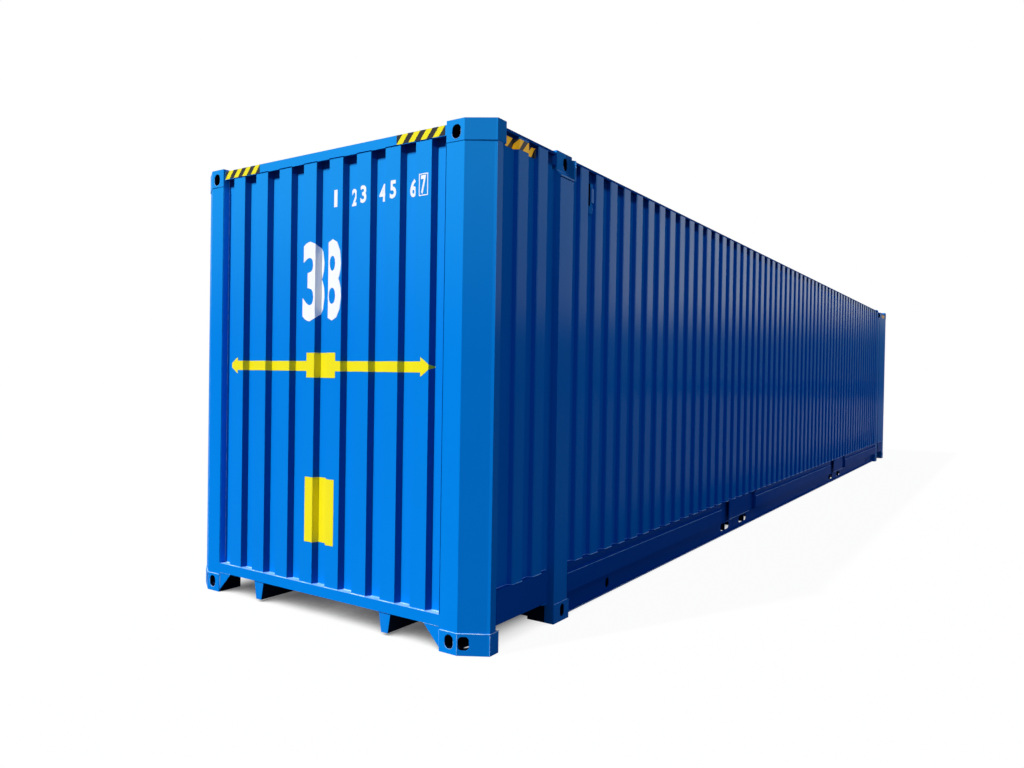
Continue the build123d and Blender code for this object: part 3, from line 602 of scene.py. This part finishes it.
def marking(faces, skin, cuts, out):
    """Mesh of thin film cut to the given flat outlines and pressed onto a wall."""
    sheet = bmesh.new()
    for outline in faces:
        sheet.faces.new([sheet.verts.new((across, up, 0.0)) for across, up in outline])
    for cut in cuts:
        every = sheet.verts[:] + sheet.edges[:] + sheet.faces[:]
        bmesh.ops.bisect_plane(sheet, geom=every, plane_co=(cut, 0, 0), plane_no=(1, 0, 0))
    bmesh.ops.remove_doubles(sheet, verts=sheet.verts[:], dist=0.0001)
    bmesh.ops.triangulate(sheet, faces=[face for face in sheet.faces if len(face.verts) > 4])
    for vertex in sheet.verts:
        vertex.co = skin(vertex.co.x, vertex.co.y) + out * FILM_GAP
    thicken(sheet, sheet.faces[:], out * FILM)
    return mesh_of(sheet, "film")


TO_FRONT = Vector((-1.0, 0.0, 0.0))
TO_LEFT = Vector((0.0, -1.0, 0.0))
FRONT_FOLDS = folds(FRONT_CENTRES, FRONT_CREST, FRONT_RUN)


def rectangle(low, high, foot, head):
    return [(low, foot), (high, foot), (high, head), (low, head)]


def tube(path, radius, sides=6):
    """Mesh of a round bead along a path."""
    bead = bmesh.new()
    turns = [2 * math.pi * side / sides for side in range(sides)]
    rings = []
    for number, point in enumerate(path):
        along = (path[min(number + 1, len(path) - 1)] - path[max(number - 1, 0)]).normalized()
        first = along.orthogonal().normalized()
        if abs(along.z) < 0.9:
            first = Vector((0, 0, 1)).cross(along).normalized()
        second = along.cross(first)
        ring = [point + (first * math.cos(turn) + second * math.sin(turn)) * radius for turn in turns]
        rings.append([bead.verts.new(spot) for spot in ring])
    for near, far in zip(rings, rings[1:]):
        for side in range(sides):
            other = (side + 1) % sides
            bead.faces.new((near[side], near[other], far[other], far[side]))
    bead.faces.new(list(reversed(rings[0])))
    bead.faces.new(rings[-1])
    bmesh.ops.recalc_face_normals(bead, faces=bead.faces[:])
    return mesh_of(bead, "bead")


def joined(meshes, name, finish):
    """One piece made of several meshes."""
    whole = bmesh.new()
    for mesh in meshes:
        whole.from_mesh(mesh)
    return piece_from(mesh_of(whole, name), name, finish)


def mirrored(mesh, across=False, along=False):
    """A copy of a mesh on the other side or at the other end of the box."""
    twin = mesh.copy()
    twin.transform(Matrix.Diagonal((-1 if along else 1, -1 if across else 1, 1, 1)))
    if across != along:
        twin.flip_normals()
    return twin


# Markings on the front wall
ARROW_LEVEL = 1.558
ARROW_TIP = 0.884
ARROW_HEAD = 0.804
ARROW_SHAFT = 0.031
ARROW_WING = 0.055
LABEL_HALF = 0.127
LABEL_FOOT, LABEL_HEAD = 1.486, 1.640
PANEL_HALF = 0.128
PANEL_FOOT, PANEL_HEAD = 0.460, 0.865
shaft = (ARROW_LEVEL - ARROW_SHAFT, ARROW_LEVEL + ARROW_SHAFT)
wing_foot, wing_head = ARROW_LEVEL - ARROW_WING, ARROW_LEVEL + ARROW_WING
arrow = [
    rectangle(LABEL_HALF, ARROW_HEAD, *shaft),
    rectangle(-ARROW_HEAD, -LABEL_HALF, *shaft),
    [(ARROW_HEAD, wing_foot), (ARROW_TIP, ARROW_LEVEL), (ARROW_HEAD, wing_head)],
    [(-ARROW_HEAD, wing_head), (-ARROW_TIP, ARROW_LEVEL), (-ARROW_HEAD, wing_foot)],
    rectangle(-LABEL_HALF, LABEL_HALF, LABEL_FOOT, LABEL_HEAD),
]
piece_from(marking(arrow, front_skin, FRONT_FOLDS, TO_FRONT), "front_width_arrow", yellow_film)
lower_panel = [rectangle(-PANEL_HALF, PANEL_HALF, PANEL_FOOT, PANEL_HEAD)]
panel = marking(lower_panel, front_skin, FRONT_FOLDS, TO_FRONT)
piece_from(panel, "front_lower_panel", yellow_film)

STROKE = 0.03


def digit_faces(text, height, width, centre, foot):
    """Flat outlines of plain digits, stretched to a width and height, seen from the front."""
    curve = bpy.data.curves.new("digits", "FONT")
    curve.body = text
    curve.offset = STROKE
    curve.resolution_u = 3
    shape = bpy.data.objects.new("digits", curve)
    bpy.context.scene.collection.objects.link(shape)
    bpy.context.view_layer.update()
    flat = bpy.data.meshes.new_from_object(shape)
    bpy.data.objects.remove(shape)
    low_x, high_x = min(v.co.x for v in flat.vertices), max(v.co.x for v in flat.vertices)
    low_y, high_y = min(v.co.y for v in flat.vertices), max(v.co.y for v in flat.vertices)
    places = [
        (
            centre - ((v.co.x - low_x) / (high_x - low_x) - 0.5) * width,
            foot + (v.co.y - low_y) / (high_y - low_y) * height,
        )
        for v in flat.vertices
    ]
    return [[places[corner] for corner in face.vertices] for face in flat.polygons]


# A row of small plain digits, one on each crest and valley, the last one in a frame
DIGIT_FOOT = 2.523
DIGIT_HEIGHT = 0.104
DIGITS = (
    ("1", -0.1150, 0.028),
    ("2", -0.2370, 0.046),
    ("3", -0.3460, 0.048),
    ("4", -0.4640, 0.050),
    ("5", -0.5800, 0.048),
    ("6", -0.7010, 0.048),
    ("7", -0.8075, 0.038),
)
row = []
for digit, centre, wide in DIGITS:
    row += digit_faces(digit, DIGIT_HEIGHT, wide, centre, DIGIT_FOOT)
LINE, FRAME_HALF, FRAME_GAP = 0.0055, 0.0330, 0.0100
last = DIGITS[-1][1]
low, high = last - FRAME_HALF, last + FRAME_HALF
foot, head = DIGIT_FOOT - FRAME_GAP, DIGIT_FOOT + DIGIT_HEIGHT + FRAME_GAP
row += [
    rectangle(low, high, foot, foot + LINE),
    rectangle(low, high, head - LINE, head),
    rectangle(low, low + LINE, foot + LINE, head - LINE),
    rectangle(high - LINE, high, foot + LINE, head - LINE),
]
piece_from(marking(row, front_skin, FRONT_FOLDS, TO_FRONT), "front_small_digits", white_film)

# Two large digits side by side
LARGE_FOOT, LARGE_HEIGHT, LARGE_WIDTH, LARGE_PLACE = 1.836, 0.495, 0.155, 0.092
large = []
for digit, centre in (("3", LARGE_PLACE), ("8", -LARGE_PLACE)):
    large += digit_faces(digit, LARGE_HEIGHT, LARGE_WIDTH, centre, LARGE_FOOT)
piece_from(marking(large, front_skin, FRONT_FOLDS, TO_FRONT), "front_large_digits", white_film)


# Black and yellow stripes at the top corners
def stripes(low, high, foot, head, count):
    """Slanted bars that fill half of a band, from its lower far corner to its upper near one."""
    pitch = (high - low) / count
    half = pitch / 2
    starts = [low + (number + 0.5) * pitch for number in range(count)]
    return [[(start, foot), (start + half, foot), (start, head), (start - half, head)] for start in starts]


def band(name, limits, bars, surface, cuts, out, colour, sides=(False,)):
    """A band of black film with slanted bars on it, also on the other side where asked."""
    black = marking([rectangle(*limits)], surface, cuts, out)
    bright = marking(bars, lambda across, up: surface(across, up) + out * FILM, cuts, out)
    for mesh, tone, finish in ((black, "black", black_film), (bright, "yellow", colour)):
        meshes = [mirrored(mesh, across=True) if side else mesh for side in sides]
        joined(meshes, f"{name}_{tone}", finish)


def header_skin(across, up):
    return Vector((HEADER_FACE, across, up))


def rear_overhang_skin(along, up):
    return Vector((along, -SIDE + 0.003, up))


for side, low, high in (("right", 0.603, 0.963), ("left", -0.955, -0.600)):
    limits = (low, high, HEADER_FOOT + 0.003, HEADER_TOP - HAIR)
    bars = stripes(*limits, 4)
    band(f"header_stripes_{side}", limits, bars, header_skin, (), TO_FRONT, yellow_film)

# Bars on each overhang as (foot from, head to, foot to, head from), counted from the end frame's side
STRIPE_FOOT, STRIPE_HEAD = 2.779, 2.836
OVERHANG_BARS = [
    (6.656, 6.586, 6.636, 6.656),
    (6.592, 6.512, 6.558, 6.556),
    (6.524, 6.461, 6.461, 6.470),
    (6.444, 6.357, 6.391, 6.388),
]
STRIPE_START, STRIPE_END = 6.658, 6.356
BOTH = (False, True)
OVERHANG_FOLDS = folds(OVERHANG_CRESTS, SIDE_CREST, SIDE_RUN)
for name, way, surface, cuts in (
    ("front_side_stripes", -1, side_skin, OVERHANG_FOLDS),
    ("rear_side_stripes", 1, rear_overhang_skin, ()),
):
    limits = (way * STRIPE_START, way * STRIPE_END, STRIPE_FOOT, STRIPE_HEAD)
    bars = [
        [
            (way * foot_from, STRIPE_FOOT),
            (way * foot_to, STRIPE_FOOT),
            (way * head_to, STRIPE_HEAD),
            (way * head_from, STRIPE_HEAD),
        ]
        for foot_from, head_to, foot_to, head_from in OVERHANG_BARS
    ]
    band(name, limits, bars, surface, cuts, TO_LEFT, amber_film_painted_glow, BOTH)


# Weld beads and edges, pale as painted highlights, and seams dark as painted shadow
WELD = 0.0025


def four_ways(meshes):
    """The meshes and their twins on the other side and at the other end."""
    return [mirrored(mesh, across, along) for mesh in meshes for across in BOTH for along in BOTH]


def two_sides(meshes):
    return [mirrored(mesh, across) for mesh in meshes for across in BOTH]


def front_line(level, out):
    places = [-FRONT_HALF] + FRONT_FOLDS + [FRONT_HALF]
    return [front_skin(across, level) + TO_FRONT * out for across in places]


def side_line(low, high, centres, level, out):
    places = [low] + folds(centres, SIDE_CREST, SIDE_RUN) + [high]
    return [
        Vector((along, -SIDE - out + wave(along, centres, SIDE_CREST, SIDE_RUN, SIDE_DEPTH), level))
        for along in places
    ]


# Pale beads along the front wall's foot and corners, painted highlights
wall_welds = [tube(front_line(SILL_TOP, HAIR), 0.0035)]
corner_back = FRONT_FACE + FRONT_DEPTH - HAIR
for side in (-1, 1):
    upright = [Vector((corner_back, side * FRONT_HALF, level)) for level in (SILL_TOP, HEADER_FOOT)]
    wall_welds.append(tube(upright, 0.002))
joined(wall_welds, "front_wall_welds", edge_highlight_finish)
# A dark bead under the header, a painted shadow line
piece_from(tube(front_line(HEADER_FOOT, HAIR), WELD), "front_header_seam", seam_shadow_finish)

# Pale beads along the foot of the long sides, painted highlights
foot = WALL_FOOT + HAIR
flat_line = [Vector((along, -SIDE + 0.002, foot)) for along in (OVERHANG_END, OVERHANG_START)]
side_welds = [
    tube(side_line(-WALL_END, WALL_END, SIDE_CENTRES, foot, HAIR), WELD),
    tube(side_line(-OVERHANG_START, -OVERHANG_END, OVERHANG_CRESTS, foot, HAIR), WELD),
    tube(flat_line, WELD),
]
joined(two_sides(side_welds), "side_wall_welds", weld_highlight_finish)


def straight(start, end, radius):
    return tube([Vector(start), Vector(end)], radius)


def lengthwise(low, high, face, level, radius):
    """A straight bead along one of the long sides."""
    return straight((low, face, level), (high, face, level), radius)


# Bottom rails: painted highlights along the fold under the wall, the edge of the foot and the edge over each
# lifting recess
RECESS_NEAR, RECESS_FAR = 1.888, 2.988
RAIL_FACE, RAIL_FOLD = -1.2495, 0.2805
FOOT_FACE, FOOT_EDGE = -1.2115, 0.0145
RECESS_FACE, RECESS_EDGE = -1.249, 0.158
rail_lines = [
    lengthwise(0.0, RECESS_NEAR, RAIL_FACE, RAIL_FOLD, 0.0014),
    lengthwise(RECESS_FAR, WALL_END, RAIL_FACE, RAIL_FOLD, 0.0014),
    lengthwise(0.0, LIFT_NEAR, FOOT_FACE, FOOT_EDGE, 0.0016),
    lengthwise(2.113, 2.763, RECESS_FACE, RECESS_EDGE, 0.0018),
]
joined(four_ways(rail_lines), "rail_edges", weld_highlight_finish)

# Inner posts: welds at the foot and the head, and a band over a seam under the ramp; welds and band pale as
# painted highlights, the seam dark as painted shadow
FOOT_WELD, HEAD_WELD = 0.1195, 2.7775
BAND_LEVEL, SEAM_LEVEL = 2.7435, 2.7340
post_back = -LIFT_NEAR - HAIR
post_lines = [
    lengthwise(-POST_END, -WALL_END, -POST_FACE, FOOT_WELD, WELD),
    lengthwise(-POST_END, -WALL_END, -INNER_FACE, HEAD_WELD, 0.0020),
    straight((post_back, -POST_FACE, 2.744), (post_back, -POST_FACE, 2.868), 0.0020),
]
joined(four_ways(post_lines), "inner_post_welds", weld_highlight_finish)
band_line = lengthwise(-POST_END, -WALL_END, -POST_FACE, BAND_LEVEL, 0.0040)
joined(four_ways([band_line]), "inner_post_bands", edge_highlight_finish)
shadow_line = lengthwise(-POST_END, -WALL_END, -POST_FACE + HAIR, SEAM_LEVEL, 0.0032)
joined(four_ways([shadow_line]), "inner_post_seams", seam_shadow_finish)

# Front corners: the post's weld on its casting and the casting's chamfer edges as painted highlights, and the
# seam beside the wall as a painted shadow line
CORNER = [(-6.856, -0.972), (-6.856, -1.0945), (-6.7635, -1.2485), (-6.681, -1.2485)]
foot_lines = [tube([Vector((*point, FOOT_WELD)) for point in CORNER], 0.0028)]
joined(two_sides(foot_lines), "front_post_welds", edge_highlight_finish)
CHAMFER_EDGES = ((-6.8575, -1.0950), (-6.7645, -1.2490))
edge_lines = [straight((*edge, 0.005), (*edge, 0.113), 0.0014) for edge in CHAMFER_EDGES]
joined(two_sides(edge_lines), "front_casting_edges", edge_highlight_finish)
POST_SEAM = (-6.8548, -0.9700)
post_seam = straight((*POST_SEAM, SILL_TOP + 0.004), (*POST_SEAM, 2.776), 0.0020)
joined(two_sides([post_seam]), "front_post_seams", seam_shadow_finish)

EYE_FOOT, EYE_HEAD = 0.066, 2.830
FRONT_EYE = (-6.8576, -1.0405)
INNER_EYE = (-5.9925, -1.2186)
RIM_STEPS = 12


def eye_rim(spot, radius, straight_part, first, last, thickness):
    """A painted highlight along a part of an upright eye's edge, between two angles in degrees.

    The spot function turns a place on the casting's face into one in space.
    """
    path = []
    for step in range(RIM_STEPS + 1):
        angle = math.radians(first + (last - first) * step / RIM_STEPS)
        drop = straight_part if math.sin(angle) > 0 else -straight_part
        path.append(spot(radius * math.cos(angle), radius * math.sin(angle) + drop))
    return tube(path, thickness)


def on_front_eye(level):
    return lambda across, up: Vector((FRONT_EYE[0], FRONT_EYE[1] + across, level + up))


def on_inner_eye(along, up):
    return Vector((INNER_EYE[0] + along, INNER_EYE[1], EYE_HEAD + up))


# Painted highlights on the eyes' rims
front_rims = [
    eye_rim(on_front_eye(level), 0.0305, 0.0095, 180, 360, 0.0012) for level in (EYE_FOOT, EYE_HEAD)
]
joined(two_sides(front_rims), "front_eye_rims", edge_highlight_finish)
lift_rim = eye_rim(on_inner_eye, 0.0260, 0.0140, 181, 250, 0.0022)
joined(four_ways([lift_rim]), "inner_eye_rims", edge_highlight_finish)

# Welds of the front gussets and of the tunnel's legs, pale as painted highlights
GUSSET_FACE, LEG_FACE = -6.8525, -6.8500
gusset_lines = [
    straight((GUSSET_FACE, -0.966, 0.1345), (GUSSET_FACE, -0.855, 0.1345), WELD),
    straight((GUSSET_FACE, -0.967, 0.022), (GUSSET_FACE, -0.967, 0.134), WELD),
    straight((LEG_FACE, -0.604, 0.1350), (LEG_FACE, -0.515, 0.1350), 0.002),
]
joined(two_sides(gusset_lines), "front_sill_welds", weld_highlight_finish)


# Bolts and plates
WASHER_WIDE, WASHER_TALL, HEAD_TAPER = 1.6, 0.0015, 0.93


def bolt(place, towards, radius=0.007, height=0.006):
    """Hexagon head on a round washer that lies on a face."""
    made = bmesh.new()
    washer, head = (16, radius * WASHER_WIDE, 0.0, WASHER_TALL), (6, radius, WASHER_TALL, height)
    for sides, wide, low, high in (washer, head):
        bmesh.ops.create_cone(
            made,
            cap_ends=True,
            segments=sides,
            radius1=wide,
            radius2=wide * HEAD_TAPER,
            depth=high - low,
            matrix=Matrix.Translation((0, 0, (low + high) / 2)),
        )
    mesh = mesh_of(made, "bolt")
    turn = Vector(towards).to_track_quat("Z", "Y").to_matrix().to_4x4()
    mesh.transform(Matrix.Translation(place) @ turn)
    return mesh


def plate(outline, thickness, spot):
    """A flat plate with the given outline, grown towards the spot function's third axis."""
    made = bmesh.new()
    face = made.faces.new([made.verts.new(spot(first, second, 0.0)) for first, second in outline])
    thicken(made, [face], spot(0.0, 0.0, thickness) - spot(0.0, 0.0, 0.0))
    return mesh_of(made, "plate")


# Ventilator covers: a hood, a dark mouth on the front edge and two bolts; the mouth and its slit are painted
# shade of the openings
VENT_X = -5.6862
VENT_FACE, VENT_BACK = -1.239, -1.2225
HOOD_OUT = 0.0066
MOUTH_FACE = -1.2370
MOUTH_FOOT, MOUTH_HEAD = 2.628, 2.777
MOUTH_OUT, MOUTH_SLANT, MOUTH_PUSH = 0.0318, 0.36, 0.2
hood = [(VENT_FACE, 2.650), (VENT_FACE - HOOD_OUT, 2.656), (VENT_FACE - HOOD_OUT, 2.747), (VENT_FACE, 2.753)]
mouth = [(VENT_BACK, MOUTH_FOOT), (MOUTH_FACE, 2.634), (MOUTH_FACE, 2.771), (VENT_BACK, MOUTH_HEAD)]
slit = rectangle(VENT_X - 0.0290, VENT_X - 0.0130, MOUTH_FOOT, MOUTH_HEAD)


def mouth_place(first, second, third):
    """A place on the slanted front edge of the cover."""
    back = (first - VENT_BACK) * MOUTH_SLANT + third * MOUTH_PUSH
    return Vector((VENT_X - MOUTH_OUT - back, first, second))


hoods = [plate(hood, 0.034, lambda first, second, third: Vector((VENT_X - 0.006 + third, first, second)))]
joined(two_sides(hoods), "vent_covers", side_paint)
mouths = [
    plate(mouth, 0.004, mouth_place),
    plate(slit, 0.0008, lambda first, second, third: Vector((first, VENT_FACE + 0.0002 - third, second))),
]
joined(two_sides(mouths), "vent_mouths", hollow_shade_finish)
VENT_BOLTS = ((VENT_FACE, 2.610), (-1.221, 2.797))
vent_bolts = [bolt(Vector((VENT_X + 0.006, face, level)), TO_LEFT, 0.0065) for face, level in VENT_BOLTS]
joined(two_sides(vent_bolts), "vent_bolts", frame_paint)

# Dark pockets behind the drain holes of the bottom rails: plates of painted shade
POCKET_FACE = -1.1868
pocket = rectangle(-5.310, -5.210, 0.028, 0.118)
pockets = [plate(pocket, 0.002, lambda first, second, third: Vector((first, POCKET_FACE + third, second)))]
joined(four_ways(pockets), "drain_pockets", hollow_shade_finish)


# Door gear: bolts of the bar guides and hinges
TO_REAR = Vector((1.0, 0.0, 0.0))
DOOR_FACE = 6.796
GEAR_FACE = DOOR_FACE + 0.008
BAR_X = 6.821
BARS = (0.278, 0.857)
GUIDES = (0.090, 0.395, 0.955, 1.897, 2.457, 2.820)
LEAF_FOOT, LEAF_HEIGHT = 0.166, 2.546
HINGES = [LEAF_FOOT + (number + 0.5) * LEAF_HEIGHT / 4 for number in range(4)]
HINGE_PIN = 1.127
gear_bolts = [
    bolt(Vector((BAR_X, bar + step, level)), TO_REAR)
    for bar in BARS
    for step in (-0.027, 0.027)
    for level in GUIDES
]
gear_bolts += [
    bolt(Vector((GEAR_FACE, HINGE_PIN - 0.045 - 0.040 * column, level + step)), TO_REAR)
    for level in HINGES
    for column in (0, 1)
    for step in (-0.050, 0.050)
]
joined(two_sides(gear_bolts), "door_bolts", zinc_finish)


def upright_bar(place, radius, length, sides=20):
    middle, reach = Vector(place), Vector((0.0, 0.0, length / 2))
    return tube([middle - reach, middle + reach], radius, sides)


pins = [
    upright_bar((DOOR_FACE + 0.014, HINGE_PIN, level + step), 0.009, 0.010)
    for level in HINGES
    for step in (-0.084, 0.084)
]
joined(two_sides(pins), "hinge_pins", zinc_finish)

# Hubs and catches of the two handles of each door
HANDLE_X = GEAR_FACE + 0.034
HANDLE_LEVELS = (1.250, 1.378)
HANDLE_ENDS = (0.700, 0.435)
CATCH_WIDE = 0.046
hubs = []
for bar, level in zip(BARS, HANDLE_LEVELS):
    hubs.append(upright_bar((BAR_X, bar, level), 0.024, 0.070))
    hubs.append(bolt(Vector((HANDLE_X + 0.010, bar, level)), TO_REAR, 0.010, 0.008))
joined(two_sides(hubs), "handle_hubs", zinc_finish)


def catch_place(free_end):
    """Places across a catch that is centred on a handle's free end."""
    return lambda first, second, third: Vector((first, free_end - CATCH_WIDE / 2 + third, second))


catches = []
for free_end, level in zip(HANDLE_ENDS, HANDLE_LEVELS):
    hook = [
        (DOOR_FACE, level - 0.032),
        (HANDLE_X + 0.014, level - 0.032),
        (HANDLE_X + 0.014, level + 0.004),
        (HANDLE_X + 0.010, level + 0.004),
        (HANDLE_X + 0.010, level - 0.026),
        (DOOR_FACE + 0.006, level - 0.026),
        (DOOR_FACE + 0.006, level + 0.034),
        (DOOR_FACE, level + 0.034),
    ]
    catches.append(plate(hook, CATCH_WIDE, catch_place(free_end)))
joined(two_sides(catches), "handle_catches", zinc_finish)

# Cams at the ends of the locking bars, upwards from the foot and downwards from the head
CAM = [(-0.045, 0.0), (-0.045, 0.016), (-0.012, 0.030), (0.030, 0.026), (0.050, 0.008), (0.050, 0.0)]
CAM_THICK = 0.012
CAM_LEVELS = ((0.062, 1), (2.848, -1))


def cam_place(bar, level, way):
    back = BAR_X - CAM_THICK / 2
    return lambda first, second, third: Vector((back + third, bar + first, level + way * second))


cams = [plate(CAM, CAM_THICK, cam_place(bar, level, way)) for bar in BARS for level, way in CAM_LEVELS]
joined(two_sides(cams), "bar_cams", zinc_finish)


# Floor of the studio
FLOOR_HALF = 60
corners = [(x, y, 0) for x, y in rectangle(-FLOOR_HALF, FLOOR_HALF, -FLOOR_HALF, FLOOR_HALF)]
plane = bpy.data.meshes.new("floor_plane")
plane.from_pydata(corners, [], [(0, 1, 2, 3)])
plane.materials.append(ground())
floor = bpy.data.objects.new("studio_floor", plane)
bpy.context.scene.collection.objects.link(floor)


# Light
def sun(name, towards, strength, spread):
    lamp = bpy.data.lights.new(name, "SUN")
    lamp.energy = strength
    lamp.angle = math.radians(spread)
    holder = bpy.data.objects.new(name, lamp)
    holder.rotation_euler = Vector(towards).to_track_quat("Z", "Y").to_euler()
    bpy.context.scene.collection.objects.link(holder)


sun("key_light", towards=(-1.0, 0.49, 1.20), strength=4.40, spread=1.5)
sun("back_light", towards=(1.0, 0.5, 0.35), strength=1.3, spread=12.0)


class Surroundings(Finish):
    """The world's nodes, made by the same one method."""

    def __init__(self, name):
        self.world = bpy.data.worlds.new(name)
        self.start(self.world, "ShaderNodeOutputWorld")


# Plain white, soft bluish light, and a dark band at the horizon that only gloss shows
HORIZON_BAND = (0.045, 0.11)
studio = Surroundings("studio")
low_down = 1.0 - studio.part(studio.node("TexCoord"), "Z").over(*HORIZON_BAND)
mirrored_edge = studio.node("LightPath", out="Is Glossy Ray") * low_down
backdrop = studio.blend(mirrored_edge, (1.0, 1.0, 1.0), (0.04, 0.10, 0.22))
soft = studio.node("Background", None, {"Color": (0.50, 0.63, 1.0), "Strength": 0.33})
white = studio.node("Background", None, {"Color": backdrop, "Strength": 1.0})
studio.show(studio.node("MixShader", None, {0: seen_directly(studio), 1: soft, 2: white}))
bpy.context.scene.world = studio.world

# Camera, placed as the photograph was taken
CAMERA_PLACE = (-10.147, -3.632, 1.514)
YAW, PITCH, ROLL = (math.radians(angle) for angle in (33.438, -0.724, 0.942))
ahead = Vector((math.cos(YAW) * math.cos(PITCH), math.sin(YAW) * math.cos(PITCH), math.sin(PITCH)))
level = Vector((math.sin(YAW), -math.cos(YAW), 0.0))
upward = level.cross(ahead)
right = level * math.cos(ROLL) + upward * math.sin(ROLL)
up = upward * math.cos(ROLL) - level * math.sin(ROLL)
lens = bpy.data.cameras.new("camera")
lens.lens = 27.10
lens.sensor_width = 36.0
lens.shift_x = -0.0051
lens.shift_y = 0.0021
lens.clip_end = 200.0
camera = bpy.data.objects.new("camera", lens)
turn = Matrix((right, up, -ahead)).transposed()
camera.matrix_world = Matrix.Translation(CAMERA_PLACE) @ turn.to_4x4()
bpy.context.scene.collection.objects.link(camera)
bpy.context.scene.camera = camera
bpy.context.scene.view_settings.view_transform = "Standard"
